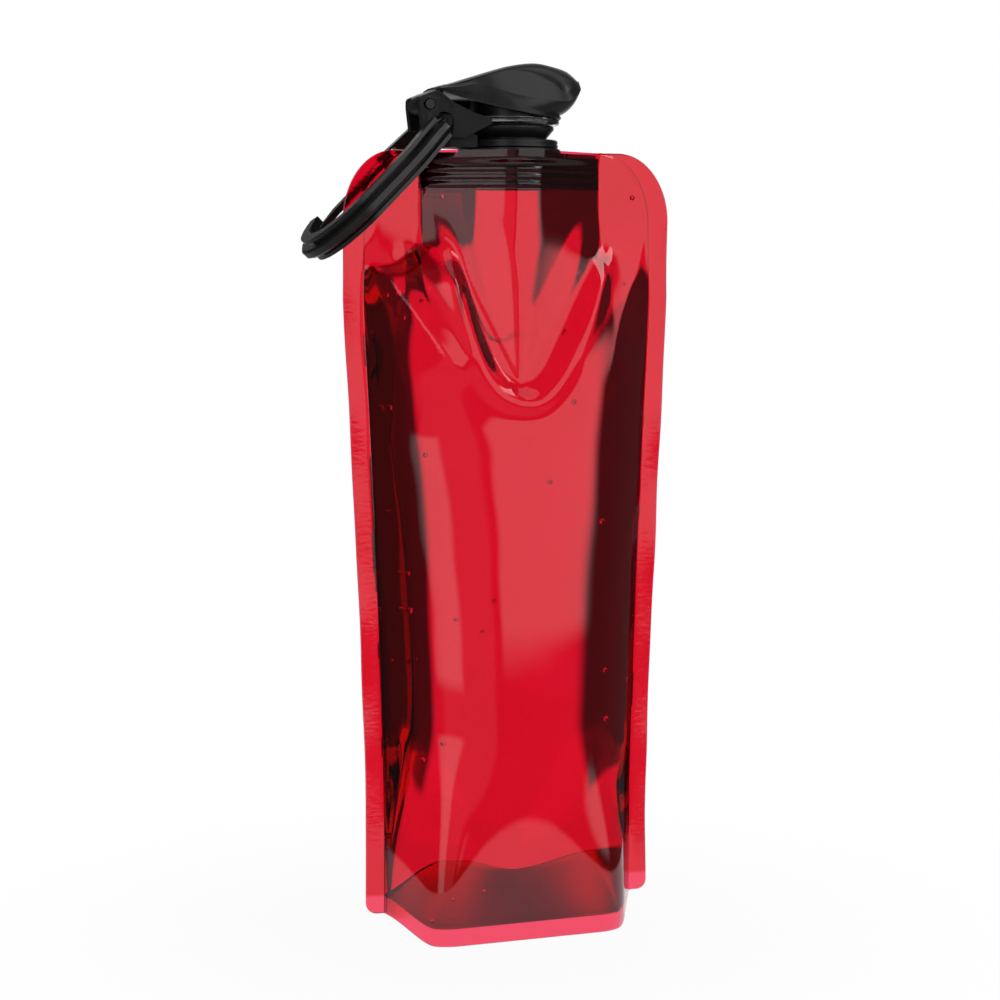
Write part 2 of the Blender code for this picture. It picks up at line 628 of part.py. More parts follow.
def cap_body(finish, parent):
    """Plug, collar and the hinge bracket that carries the pin and the clip loop."""
    seat = COLLAR_TOP - SPOUT_SEAT
    groove = (COLLAR_LOW + COLLAR_TOP) / 2
    profile = [(CAP_BORE, PLUG_LOW), (PLUG_RADIUS, PLUG_LOW), (PLUG_RADIUS, COLLAR_LOW),
               (GASKET_INNER - GAP, COLLAR_LOW), (GASKET_INNER - GAP, COLLAR_LOW + GASKET_THICK),
               (GASKET_OUTER + GAP, COLLAR_LOW + GASKET_THICK), (GASKET_OUTER + GAP, COLLAR_LOW),
               (COLLAR_RADIUS - 0.0003, COLLAR_LOW), (COLLAR_RADIUS, COLLAR_LOW + 0.0003),
               (COLLAR_RADIUS, groove - GROOVE / 2), (COLLAR_RADIUS - GROOVE, groove - GROOVE / 2),
               (COLLAR_RADIUS - GROOVE, groove + GROOVE / 2), (COLLAR_RADIUS - 0.0001, groove + GROOVE / 2),
               (COLLAR_RADIUS - 0.0001, COLLAR_TOP - 0.0004), (COLLAR_RADIUS - 0.0005, COLLAR_TOP),
               (SPOUT_WAIST + GAP, COLLAR_TOP), (SPOUT_WAIST + GAP, seat), (CAP_BORE, seat)]
    body = add_object("cap_body", lathe(profile), finish, parent)

    reach = COLLAR_RADIUS + WING_THICK
    cheeks = guide("cheeks", prism(cheek_side(0.0), -reach, reach), parent)
    boolean(cheeks, bracket_wedge("cheek_wedge", 0.0, parent), "INTERSECT")
    for low, high in ((-reach, 0.0), (0.0, reach)):
        panel = guide("cheek_panel", prism(cheek_side(CHEEK_BORDER), low, high), parent)
        boolean(panel, bracket_wedge("cheek_core", PANEL_SINK, parent))
        boolean(cheeks, panel)
    wings = guide("wings", prism(wing_side(), -reach, reach), parent)
    boolean(wings, bracket_wedge("wing_wedge", WING_SINK, parent), "INTERSECT")
    rear, front = LOOP_PIVOT.x + ARCH_RADIUS, WING_THICK - COLLAR_RADIUS
    outline = [(rear, COLLAR_LOW), (front, COLLAR_LOW), (front, COLLAR_TOP + 0.0010), (rear, LOOP_PIVOT.z)]
    foot = guide("foot", prism(outline, -reach, reach), parent)
    boolean(foot, bracket_wedge("foot_wedge", FOOT_SINK, parent), "INTERSECT")

    wide = KNUCKLE_HALF + GAP
    saddle = LOOP_PIVOT.z + BAR_RADIUS + SADDLE_THICK
    back, front = CHEEK_BACK - CHEEK_REAR, STEP_X + GAP * 4
    mid = LOOP_PIVOT.x - ARCH_RADIUS - 0.0007
    room = [(back, COLLAR_LOW), (mid, COLLAR_LOW), (mid, LOOP_PIVOT.z), (mid + 0.0020, saddle),
            (front, saddle), (front, LID_TOP), (back, LID_TOP)]
    boolean(cheeks, guide("knuckle_room", prism(room, -wide, wide), parent))
    turn = rod(PIN + Vector((0, -wide, 0)), PIN + Vector((0, wide, 0)), KNUCKLE_RADIUS + GAP, 32)
    boolean(cheeks, guide("knuckle_turn", turn, parent))
    past = BRACKET_FRONT + WING_THICK
    room = [(LOOP_PIVOT.x + BAR_RADIUS + GAP, -wide), (WING_TIP_X, -bracket_half(WING_TIP_X) + WING_THICK),
            (past, -bracket_half(past) + WING_THICK)]
    room += [(x, -y) for x, y in room[::-1]]
    boolean(wings, guide("wing_room", prism(room, COLLAR_TOP, LID_TOP, "Z"), parent))
    top = Vector((0, 0, LID_TOP))
    for part in (cheeks, wings):
        clear = rod(Vector((0, 0, COLLAR_TOP - FILM)), top, SEAL_RADIUS + 2 * GAP, ROUND_STEPS)
        boolean(part, guide("seal_room", clear, parent))
    clear = rod(Vector((0, 0, PLUG_LOW)), top, COLLAR_RADIUS - 3 * GROOVE, ROUND_STEPS)
    boolean(foot, guide("foot_room", clear, parent))
    boolean(cheeks, wings, "UNION")
    boolean(cheeks, foot, "UNION")
    for name, centre, radius in (("pin_hole", PIN, PIN_RADIUS + GAP), ("arch", LOOP_PIVOT, BAR_RADIUS + GAP)):
        hole = rod(centre - Vector((0, reach, 0)), centre + Vector((0, reach, 0)), radius)
        boolean(cheeks, guide(name, hole, parent))
    boolean(body, cheeks, "UNION")
    return settle(body)


def mouthpiece(finish, parent):
    """Flared drinking spout with a sleeve down the cap's bore."""
    sleeve = CAP_BORE - GAP
    low = COLLAR_TOP - SPOUT_DEPTH
    rest = COLLAR_TOP - SPOUT_SEAT + GAP
    profile = [(sleeve - SPOUT_WALL, low), (sleeve, low), (sleeve, rest), (SPOUT_WAIST, rest),
               (SPOUT_WAIST, COLLAR_TOP + 0.0006), (SPOUT_LIP, SPOUT_TOP - 0.0012),
               (SPOUT_LIP, SPOUT_TOP - 0.0004), (SPOUT_LIP - 0.0004, SPOUT_TOP),
               (SPOUT_LIP - 0.0019, SPOUT_TOP), (SPOUT_WAIST - 0.0022, COLLAR_TOP + 0.0008),
               (sleeve - SPOUT_WALL, COLLAR_TOP - 0.0018)]
    return add_object("mouthpiece", lathe(profile), finish, parent)


def neck_gasket(finish, parent):
    low = COLLAR_LOW
    high = COLLAR_LOW + GASKET_THICK - GAP
    profile = [(GASKET_INNER, low), (GASKET_OUTER, low), (GASKET_OUTER, high), (GASKET_INNER, high)]
    return add_object("neck_gasket", lathe(profile), finish, parent)


def hinge_pin(finish, parent):
    reach = bracket_half(PIN.x) + GAP
    bm = rod(PIN + Vector((0, -reach, 0)), PIN + Vector((0, reach, 0)), PIN_RADIUS)
    return add_object("hinge_pin", bm, finish, parent, PIN)


# Lid

def lid_rim_height(x):
    """The rim sweeps up from the front to the hinge."""
    return LID_RIM_LOW + LID_RIM_RISE * ((LID_RIM_RADIUS - x) / (LID_RIM_RADIUS - LID_BACK)) ** 2


def lid_ridge(x):
    """Height of the lid along its middle."""
    return through([(-0.0300, LID_TOP - 0.0094), (-0.0250, LID_TOP - 0.0085), (-0.0150, LID_TOP - 0.0055),
                    (-0.0070, LID_TOP - 0.0030), (0.0, LID_TOP - 0.0011), (0.0085, LID_TOP),
                    (0.0150, LID_TOP - 0.0009), (0.0210, LID_TOP - 0.0025), (LID_TIP, LID_TOP - 0.0048)], x)


def belt_height(x):
    """Lower edge of the side facets; round the front it is the widest line of the nose."""
    return through([(-0.0300, LID_TOP - 0.0100), (-0.0220, LID_TOP - 0.0095), (-0.0165, LID_TOP - 0.0086),
                    (-0.0120, LID_TOP - 0.0095), (-0.0020, LID_TOP - 0.0122), (0.0080, LID_TOP - 0.0133),
                    (0.0170, LID_TOP - 0.0134), (0.0215, LID_TOP - 0.0112), (LID_TIP, LID_TOP - 0.0078)], x)


def belt_half(x):
    return through([(-0.0300, 0.0090), (-0.0200, 0.0124), (-0.0120, 0.0155), (-0.0030, 0.0171),
                    (0.0100, 0.0178), (LID_TIP, 0.0178)], x)


def facet_height(x):
    """Upper edge of the side facets."""
    return through([(-0.0300, LID_TOP - 0.0097), (-0.0200, LID_TOP - 0.0080), (-0.0150, LID_TOP - 0.0065),
                    (-0.0090, LID_TOP - 0.0046), (-0.0026, LID_TOP - 0.0032), (0.0030, LID_TOP - 0.0035),
                    (0.0080, LID_TOP - 0.0051), (0.0130, LID_TOP - 0.0077), (0.0165, LID_TOP - 0.0112),
                    (0.0190, LID_TOP - 0.0103), (LID_TIP, LID_TOP - 0.0052)], x)


def facet_half(x):
    return through([(-0.0300, 0.0070), (-0.0150, 0.0082), (-0.0030, 0.0080), (0.0080, 0.0100),
                    (0.0130, 0.0128), (0.0172, 0.0168), (LID_TIP, 0.0168)], x)


def lid_ring(back, tip, half, height):
    """Plan ring of the lid from the middle of its hinge end round the front, both sides."""
    start = -0.0030
    outline = [(back, 0.0), (back, half(back) * 0.5), (back, half(back))]
    for k in range(1, 22):
        if k < 8:
            x = back + (start - back) * k / 8
            y = half(x)
        else:
            angle = math.pi / 2 * (1 - (k - 8) / 14)
            x = start + (tip - start) * math.cos(angle)
            y = half(x) * math.sin(angle)
        outline.append((x, y))
    outline.append((tip, 0.0))
    outline += [(x, -y) for x, y in outline[-2:0:-1]]
    return [(x, y, height(x)) for x, y in outline]


def lid_shell(finish, parent):
    """Hollow lid: beaded rim, side facets, round nose and a knuckle round the pin."""
    def rim_half(extra):
        wide = LID_RIM_RADIUS + extra
        return lambda x: through([(-0.0300, 0.0090 + extra), (-0.0200, 0.0122 + extra),
                                  (-0.0120, 0.0152 + extra), (-0.0030, wide), (0.0177, wide)], x)

    def rim_up(x, up):
        """The rim's band thins out towards the hinge."""
        return lid_rim_height(x) + up * (0.35 + 0.65 * smooth(LID_BACK, -0.0170, x))

    def rim_band(extra, up):
        return lid_ring(LID_BACK, LID_RIM_RADIUS + extra, rim_half(extra), lambda x: rim_up(x, up))

    def crown(share):
        """Ring between the facets' upper edge (share 0) and the ridge (share 1)."""
        turn = math.radians(90 * share)
        drawn = NOSE_ROUND * (1 - math.cos(math.radians(30 + 60 * share)))
        return lid_ring(LID_BACK + 0.0004 + 0.0006 * share, LID_TIP - drawn,
                        lambda x: facet_half(x) * math.cos(turn),
                        lambda x: facet_height(x) + (lid_ridge(x) - facet_height(x)) * math.sin(turn))

    outer = [rim_band(0.0, 0.0), rim_band(RIM_BEAD, 0.0003), rim_band(RIM_BEAD, 0.0008),
             rim_band(0.0, 0.0011), rim_band(0.0, 0.0015)]
    outer.append(lid_ring(LID_BACK, (LID_RIM_RADIUS + LID_TIP) / 2 + 0.0006,
                          lambda x: (rim_half(0.0)(x) + belt_half(x)) / 2 + 0.0002,
                          lambda x: (rim_up(x, 0.0015) + belt_height(x)) / 2))
    outer.append(lid_ring(LID_BACK, LID_TIP, belt_half, belt_height))
    outer += [crown(share) for share in (0.0, 0.25, 0.5, 0.72, 0.92)]
    ceiling = CARRIER_TOP + GAP

    def inner_half(x):
        return rim_half(-LID_WALL)(x)

    def inner_top(x):
        return max(ceiling, lid_rim_height(x) + 0.0004)

    inner = [lid_ring(LID_BACK + LID_WALL, LID_RIM_RADIUS - LID_WALL, inner_half, lid_rim_height),
             lid_ring(LID_BACK + LID_WALL, LID_RIM_RADIUS - LID_WALL, inner_half, inner_top),
             lid_ring(LID_BACK + 0.006, 0.0080, lambda x: inner_half(x) * 0.5, inner_top)]
    lid = add_object("lid_shell", skin(inner[::-1] + outer, ribbon_ends=True), finish, parent, PIN)
    arm = arc(PIN.x, PIN.z, KNUCKLE_RADIUS, 100, 330, 12)
    arm += [(LID_BACK + 0.0010, PIN.z + 0.0020), (LID_BACK + 0.0030, lid_rim_height(LID_BACK) - 0.0002),
            (LID_BACK + 0.0010, lid_rim_height(LID_BACK) + 0.0006), (LID_BACK - 0.0004, PIN.z + 0.0050)]
    boolean(lid, guide("lid_knuckle", prism(arm, -KNUCKLE_HALF, KNUCKLE_HALF), parent), "UNION")
    wide = Vector((0, 2 * KNUCKLE_HALF, 0))
    bore = rod(PIN - wide, PIN + wide, PIN_RADIUS + GAP)
    boolean(lid, guide("lid_pin_hole", bore, parent))
    return settle(lid, 22.0)


def lid_seal(finish, parent):
    low, high = SEAL_LOW, SEAL_LOW + SEAL_THICK
    profile = [(SEAL_HOLE, low), (SEAL_RADIUS - 0.0005, low), (SEAL_RADIUS, low + 0.0005),
               (SEAL_RADIUS, high - 0.0003), (SEAL_RADIUS - 0.0003, high), (CARRIER_RADIUS, high),
               (CARRIER_RADIUS, high + SEAL_STEP), (SEAL_HOLE, high + SEAL_STEP)]
    return add_object("lid_seal", lathe(profile), finish, parent, PIN)


def seal_carrier(finish, parent):
    profile = [(SEAL_HOLE, CARRIER_LOW), (CARRIER_RADIUS, CARRIER_LOW),
               (CARRIER_RADIUS, CARRIER_TOP - 0.0010), (CARRIER_RADIUS - 0.0010, CARRIER_TOP),
               (SEAL_HOLE, CARRIER_TOP)]
    return add_object("seal_carrier", lathe(profile, 32), finish, parent, PIN)


# Clip loop

def loop_world(along, across, out):
    """Loop coordinates to the bottle's: along the loop, across it (Y), and out of its plane."""
    return LOOP_PIVOT + ALONG * along + Vector((0, across, 0)) + ACROSS * out


def arm_half(along):
    """Half spacing of the arms, which spread from the root."""
    return LOOP_ROOT_HALF + (LOOP_HALF - LOOP_ROOT_HALF) * smooth(0.002, 0.022, along)


def bow_point(angle):
    """Centre line of the bow: angle 0 at the near arm's end, 180 at the far one's."""
    reach = LOOP_REACH - CORE_OUT - BOW_START
    t = math.radians(angle)
    return (BOW_START + reach * math.sin(t), -LOOP_HALF * math.cos(t))


def loop_path():
    """Centre line from the latch, round the bow and up the near arm to the bar."""
    bow = [bow_point(angle) for angle in range(180, -1, -10)]
    path = [(along, across) for along, across in bow if across < 0 or along > GATE_END_AT]
    arm = [BOW_START * share for share in (0.85, 0.70, 0.55, 0.40, 0.25, 0.15)]
    return path + [(along, -arm_half(along)) for along in arm]


def section_ribbed():
    """Ribbed section: (outward, out of plane), sixteen points from the inner face round."""
    groove = RIB_HALF - RIB_THICK
    return [(-LOOP_IN, -RIB_HALF), (-LOOP_IN, -RIB_HALF / 3), (-LOOP_IN, RIB_HALF / 3), (-LOOP_IN, RIB_HALF),
            (RIB_OUT, RIB_HALF), (RIB_OUT, groove), (-GROOVE_FLOOR, groove), (-GROOVE_FLOOR, CORE_HALF),
            (CORE_OUT - CORE_BEVEL, CORE_HALF), (CORE_OUT, CORE_HALF - CORE_BEVEL),
            (CORE_OUT, CORE_BEVEL - CORE_HALF), (CORE_OUT - CORE_BEVEL, -CORE_HALF),
            (-GROOVE_FLOOR, -CORE_HALF), (-GROOVE_FLOOR, -groove), (RIB_OUT, -groove), (RIB_OUT, -RIB_HALF)]


def section_round():
    return [(BAR_RADIUS * math.cos(math.radians(213.75 - 22.5 * k)),
             BAR_RADIUS * math.sin(math.radians(213.75 - 22.5 * k))) for k in range(16)]


def section_block():
    """Solid fork block with rounded outer edges."""
    inner = [(-LOOP_IN, w * FORK_HALF) for w in (-1, -1 / 3, 1 / 3, 1)]
    outer = []
    for k in range(12):
        angle = math.pi * (k / 11 - 0.5)
        out = RIB_OUT + 0.0004 - 0.0010 * abs(math.sin(angle)) ** 4
        outer.append((out, -FORK_HALF * math.sin(angle)))
    return inner + outer


def carabiner_frame(finish, parent):
    """Open oval ring: latch, bow, near arm, bar through the bracket and far fork."""
    ribbed, bar, block = section_ribbed(), section_round(), section_block()
    stations = [(point, ribbed) for point in loop_path()]
    corner = [(0.0034, LOOP_ROOT_HALF - 0.0001), (0.0010, LOOP_ROOT_HALF - 0.0012),
              (0.0, LOOP_ROOT_HALF - 0.0021)]
    stations += [((along, -across), section) for (along, across), section in zip(corner, (ribbed, bar, bar))]
    stations += list(zip(corner[::-1], (bar, bar, block)))
    for share in (0.3, 0.6, 1.0):
        stations.append(((FORK_END_AT * share, arm_half(FORK_END_AT * share)), block))
    centres = [Vector((s, y)) for (s, y), _ in stations]
    rings = []
    for k, (centre, section) in enumerate(zip(centres, (shape for _, shape in stations))):
        ahead = centres[min(k + 1, len(centres) - 1)] - centres[max(k - 1, 0)]
        outward = Vector((ahead.y, -ahead.x)).normalized()
        if outward.dot(centre - Vector((BOW_START * 0.6, 0))) < 0:
            outward = -outward
        rings.append([loop_world(*(centre + outward * r), w) for r, w in section])
    frame = add_object("carabiner_frame", skin(rings), finish, parent, LOOP_PIVOT)
    slot_half = GATE_THICK / 2 + SPRING_WIRE + GAP
    far = arm_half(GATE_PIN_AT)
    wide = CORE_OUT + LOOP_IN
    floor = GATE_PIN_AT - GATE_DEPTH / 2 - 5 * GAP
    slot = [(floor, far - wide), (floor, far + wide),
            (FORK_END_AT + LOOP_IN, far + wide), (FORK_END_AT + LOOP_IN, far - wide)]
    boolean(frame, loop_cutter("fork_slot", slot, slot_half, parent))
    near = bow_half(GATE_END_AT)
    first, last = GATE_END_AT - LATCH_DEPTH, GATE_END_AT + LATCH_DEPTH + GAP
    slot = [(first, near - wide), (first, near + 2 * GAP), (last, near + 2 * GAP), (last, near - wide)]
    boolean(frame, loop_cutter("latch_slot", slot, GATE_THICK / 2 + GAP, parent))
    pin = rod(loop_world(GATE_PIN_AT, far, -2 * RIB_HALF), loop_world(GATE_PIN_AT, far, 2 * RIB_HALF),
              GATE_PIN_RADIUS + GAP, 16)
    boolean(frame, guide("gate_pin_hole", pin, parent))
    return settle(frame)


def bow_half(along):
    """Half spacing of the bow's centre line at a place along the loop."""
    reach = LOOP_REACH - CORE_OUT - BOW_START
    if along <= BOW_START:
        return LOOP_HALF
    return LOOP_HALF * math.sqrt(max(0.0, 1 - ((along - BOW_START) / reach) ** 2))


def loop_cutter(name, outline, half, parent):
    rings = [[loop_world(s, y, w) for s, y in outline] for w in (-half, half)]
    return guide(name, skin(rings), parent)


def carabiner_gate(finish, parent, pivot):
    """Slim bar from the fork to the latch, with a round eye on the pin."""
    low, high = -GATE_THICK / 2, GATE_THICK / 2
    tip = GATE_END_AT + LATCH_DEPTH
    stations = [GATE_PIN_AT + (tip - GATE_PIN_AT) * k / 8 for k in range(9)]
    outer, inner = [], []
    for along in stations:
        centre = arm_half(along) if along < BOW_START else bow_half(along)
        half = GATE_DEPTH / 2
        if along > GATE_END_AT - LATCH_DEPTH:
            centre -= 0.21 * GATE_DEPTH
            half *= 0.6
        outer.append((along, centre + half))
        inner.append((along, centre - half))
    centre = arm_half(GATE_PIN_AT)
    outline = arc(GATE_PIN_AT, centre, GATE_DEPTH / 2, 120, 240, 4) + inner + outer[::-1]
    rings = [[loop_world(s, y, w) for s, y in outline] for w in (low, high)]
    gate = add_object("carabiner_gate", skin(rings), finish, parent, pivot)
    hole = rod(loop_world(GATE_PIN_AT, centre, -GATE_THICK), loop_world(GATE_PIN_AT, centre, GATE_THICK),
               GATE_PIN_RADIUS + GAP, 16)
    boolean(gate, guide("gate_eye", hole, parent))
    return settle(gate)


def gate_pin(finish, parent):
    centre = arm_half(GATE_PIN_AT)
    bm = rod(loop_world(GATE_PIN_AT, centre, -FORK_HALF), loop_world(GATE_PIN_AT, centre, FORK_HALF),
             GATE_PIN_RADIUS, 16)
    return add_object("gate_pin", bm, finish, parent, LOOP_PIVOT)


def gate_spring(finish, parent):
    """Small wound spring round the pin, beside the gate's eye."""
    centre = arm_half(GATE_PIN_AT)
    inner = GATE_PIN_RADIUS + GAP + SPRING_WIRE / 2
    beside = GATE_THICK / 2 + GAP / 2 + SPRING_WIRE / 4
    pitch = SPRING_WIRE * 1.25
    wire = 0.4 * SPRING_WIRE
    count = int(SPRING_TURNS * 10)
    rings = []
    for k in range(count + 1):
        turned = SPRING_TURNS * k / count
        angle = 2 * math.pi * turned
        ring = []
        for j in range(6):
            around = 2 * math.pi * j / 6
            radius = inner + pitch * turned + wire * math.cos(around)
            ring.append(loop_world(GATE_PIN_AT + radius * math.cos(angle), centre + radius * math.sin(angle),
                                   beside + wire * math.sin(around)))
        rings.append(ring)
    return add_object("gate_spring", skin(rings), finish, parent, LOOP_PIVOT)


def main():
    for obj in list(bpy.data.objects):
        bpy.data.objects.remove(obj)
    film = material("red_film", (0.70, 0.01, 0.03), 0.12, alpha=0.6)
    resin = material("black_resin", (0.018, 0.018, 0.018), 0.42)
    welded = material("dark_spout_resin", (0.035, 0.032, 0.032), 0.35)
    rubber = material("clear_silicone", (0.75, 0.75, 0.72), 0.35)
    steel = material("spring_steel", (0.55, 0.55, 0.55), 0.3, metallic=1.0)

    bottle = add_empty("bottle", Vector((-OUTLINE_MIDDLE_X, 0, 0)))
    cap = add_empty("cap", Vector((0, 0, 0)), bottle)
    lid = add_empty("lid", Vector((0, 0, 0)), cap)
    loop = add_empty("loop", Vector((0, 0, 0)), cap)

    film_panel("front_film", -1, film, bottle)
    film_panel("back_film", 1, film, bottle)
    base_film(film, bottle)
    spout_fitment(welded, bottle)
    cap_body(resin, cap)
    mouthpiece(resin, cap)
    neck_gasket(rubber, cap)
    hinge_pin(steel, cap)
    lid_shell(resin, lid)
    lid_seal(rubber, lid)
    seal_carrier(resin, lid)
    carabiner_frame(resin, loop)
    gate_pin(steel, loop)
    gate_spring(steel, loop)
    carabiner_gate(resin, loop, loop_world(GATE_PIN_AT, arm_half(GATE_PIN_AT), 0.0))


main()
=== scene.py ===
# %% [markdown]
# A soft drinking bottle: a red film pouch that stands on a folded base, welded round a black
# spout, with a screw cap, a flip lid and a clip loop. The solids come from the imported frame.
# This script gives them their finish, and makes the film again as a fine, creased surface.
# The pouch stands full, because a film bottle only holds this shape with water in it.

# %% Load the frame
import bpy
import bmesh
import json
import math
import numpy as np
from mathutils import Matrix, Vector

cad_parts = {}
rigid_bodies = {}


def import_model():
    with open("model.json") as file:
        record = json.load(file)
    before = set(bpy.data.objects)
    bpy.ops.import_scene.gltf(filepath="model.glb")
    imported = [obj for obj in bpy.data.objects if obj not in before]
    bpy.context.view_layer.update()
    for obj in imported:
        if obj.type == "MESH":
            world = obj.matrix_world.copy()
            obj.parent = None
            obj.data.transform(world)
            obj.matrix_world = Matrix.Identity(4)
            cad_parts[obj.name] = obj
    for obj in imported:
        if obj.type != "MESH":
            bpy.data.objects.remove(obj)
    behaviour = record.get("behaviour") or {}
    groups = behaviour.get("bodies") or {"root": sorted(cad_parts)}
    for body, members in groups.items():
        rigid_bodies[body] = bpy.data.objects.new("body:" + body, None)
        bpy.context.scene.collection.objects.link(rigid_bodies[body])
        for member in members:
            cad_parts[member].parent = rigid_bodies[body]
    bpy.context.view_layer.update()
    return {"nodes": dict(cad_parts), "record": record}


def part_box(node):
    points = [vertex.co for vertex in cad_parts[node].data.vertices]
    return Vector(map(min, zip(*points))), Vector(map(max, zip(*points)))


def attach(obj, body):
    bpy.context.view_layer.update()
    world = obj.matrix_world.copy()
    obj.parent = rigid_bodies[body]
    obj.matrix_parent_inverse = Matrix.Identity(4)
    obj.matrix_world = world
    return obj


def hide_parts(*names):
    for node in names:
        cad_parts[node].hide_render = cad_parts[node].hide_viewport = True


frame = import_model()
nodes = frame["nodes"]
NECK = (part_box("mouthpiece")[0].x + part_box("mouthpiece")[1].x) / 2
MM = 0.001
print(f"{len(nodes)} solids; the neck's axis stands at x = {NECK / MM:.2f} mm")

# %% [markdown]
# The camera comes first. The photograph looks at the bottle a little from its left and from
# just above the middle, with a lens long enough that the pouch's sides stay almost upright.

# %% Camera
CAMERA_AZIMUTH = math.radians(-20.0)
CAMERA_PITCH = math.radians(5.44)
CAMERA_AWAY = 0.816           # across the floor, from the bottle's middle
CAMERA_HEIGHT = 0.228
CAMERA_AIM_X = 0.0036
LENS_MM = 85.0
NEAREST = 0.01                # nothing closer than this is drawn


def put(name, data):
    """An object in the scene, at the origin."""
    piece = bpy.data.objects.new(name, data)
    bpy.context.collection.objects.link(piece)
    return piece


def place_camera():
    back = Vector((math.sin(CAMERA_AZIMUTH), -math.cos(CAMERA_AZIMUTH), 0))
    right = Vector((math.cos(CAMERA_AZIMUTH), math.sin(CAMERA_AZIMUTH), 0))
    ahead = -back * math.cos(CAMERA_PITCH) - Vector((0, 0, math.sin(CAMERA_PITCH)))
    up = right.cross(ahead)
    data = bpy.data.cameras.new("camera")
    data.lens = LENS_MM
    data.clip_start = NEAREST
    camera = put("camera", data)
    placed = Matrix((right, up, -ahead)).transposed().to_4x4()
    placed.translation = back * CAMERA_AWAY + Vector((CAMERA_AIM_X, 0, CAMERA_HEIGHT))
    camera.matrix_world = placed
    bpy.context.scene.camera = camera


place_camera()
print(f"camera: {CAMERA_AWAY / MM:.0f} mm away, {CAMERA_HEIGHT / MM:.0f} mm up, {LENS_MM:.0f} mm lens")

# %% [markdown]
# Shader maths reads best as plain sums. A small class wraps a socket, so that an expression
# on two of them adds the Math nodes that it stands for. Every node of this script, in a
# material, in the room or in a geometry tree, comes from the one function make_node.

# %% Sums of sockets
def make_node(tree, kind, settings=(), values=()):
    """Any node: its settings first, then what its sockets are fed, by their names or numbers."""
    node = tree.nodes.new(kind)
    for key, value in dict(settings).items():
        setattr(node, key, value)
    for key, value in dict(values).items():
        feed(tree, node.inputs[key], value)
    return node


def feed(tree, slot, value):
    """Links a wire or an output to an input, or sets the input's value."""
    if isinstance(value, Wire):
        value = value.socket
    if isinstance(value, bpy.types.NodeSocket):
        tree.links.new(value, slot)
    elif isinstance(value, tuple) and len(value) == 3 and len(slot.default_value) == 4:
        slot.default_value = (*value, 1.0)
    else:
        slot.default_value = value


class Wire:
    """A socket that can take part in a sum, with other sockets and with numbers."""

    def __init__(self, tree, socket):
        self.tree = tree
        self.socket = socket

    def sum(self, operation, *values):
        node = make_node(self.tree, "ShaderNodeMath", {"operation": operation}, enumerate(values))
        return Wire(self.tree, node.outputs[0])

    def __add__(self, other):
        return self.sum("ADD", self, other)

    def __radd__(self, other):
        return self.sum("ADD", other, self)

    def __sub__(self, other):
        return self.sum("SUBTRACT", self, other)

    def __rsub__(self, other):
        return self.sum("SUBTRACT", other, self)

    def __mul__(self, other):
        return self.sum("MULTIPLY", self, other)

    def __rmul__(self, other):
        return self.sum("MULTIPLY", other, self)

    def __truediv__(self, other):
        return self.sum("DIVIDE", self, other)

    def __rtruediv__(self, other):
        return self.sum("DIVIDE", other, self)

    def __pow__(self, other):
        return self.sum("POWER", self, other)

    def __rpow__(self, other):
        return self.sum("POWER", other, self)

    def at_least(self, other):
        return self.sum("MAXIMUM", self, other)

    def bearing(self, other):
        """The angle, in radians, of a way that goes this far across and the other far ahead."""
        return self.sum("ARCTAN2", self, other)


# %% [markdown]
# A finish is a material in the making. It starts with the plain shader and with the object's
# own coordinates, which stay on a piece when it moves, and it has a short method for each
# node that several finishes need.

# %% Finishes in the making
class Graph:
    """A tree of shader nodes in the making."""

    def __init__(self, tree):
        self.tree = tree

    def node(self, kind, settings=(), values=(), output=0):
        """Any shader node, as a wire from one of its outputs."""
        node = make_node(self.tree, "ShaderNode" + kind, settings, values)
        return Wire(self.tree, node.outputs[output])

    def ramp(self, value, low, high, first=0.0, last=1.0):
        """Maps a value from low..high to first..last, held at both ends, as an S curve."""
        return self.node("MapRange", {"interpolation_type": "SMOOTHSTEP"},
                         {"Value": value, "From Min": low, "From Max": high,
                          "To Min": first, "To Max": last})

    def blend(self, factor, first, last):
        """Two colours, blended."""
        return self.node("Mix", {"data_type": "RGBA"}, {0: factor, 6: first, 7: last}, output=2)

    def mixed(self, factor, first, last):
        """Two shaders, mixed."""
        return self.node("MixShader", values={0: factor, 1: first, 2: last})

    def split(self, vector):
        """The three numbers of a vector."""
        first = self.node("SeparateXYZ", values={"Vector": vector})
        return [Wire(self.tree, out) for out in first.socket.node.outputs]


class Finish(Graph):
    """A material in the making."""

    def __init__(self, name):
        self.material = bpy.data.materials.new(name)
        self.material.use_nodes = True
        super().__init__(self.material.node_tree)
        self.shader = self.tree.nodes["Principled BSDF"]
        self.place = self.node("TexCoord", output="Object")

    def noise(self, scale, detail, place=None):
        return self.node("TexNoise",
                         values={"Vector": place or self.place, "Scale": scale, "Detail": detail})

    def stretched(self, scale):
        """Object coordinates, scaled unevenly."""
        return self.node("Mapping", values={"Vector": self.place, "Scale": scale})

    def own(self, name):
        """A value that the mesh carries at its points."""
        return self.node("Attribute", {"attribute_name": name}, output="Fac")

    def bump(self, height, distance):
        return self.node("Bump", values={"Height": height, "Distance": distance})

    def set(self, **values):
        """Feeds the plain shader. A socket's name is written with _ for its spaces."""
        for key, value in values.items():
            feed(self.tree, self.shader.inputs[key.replace("_", " ")], value)
        return self.material

    def show(self, shader):
        """Shows another shader than the plain one."""
        feed(self.tree, self.tree.nodes["Material Output"].inputs["Surface"], shader)
        return self.material
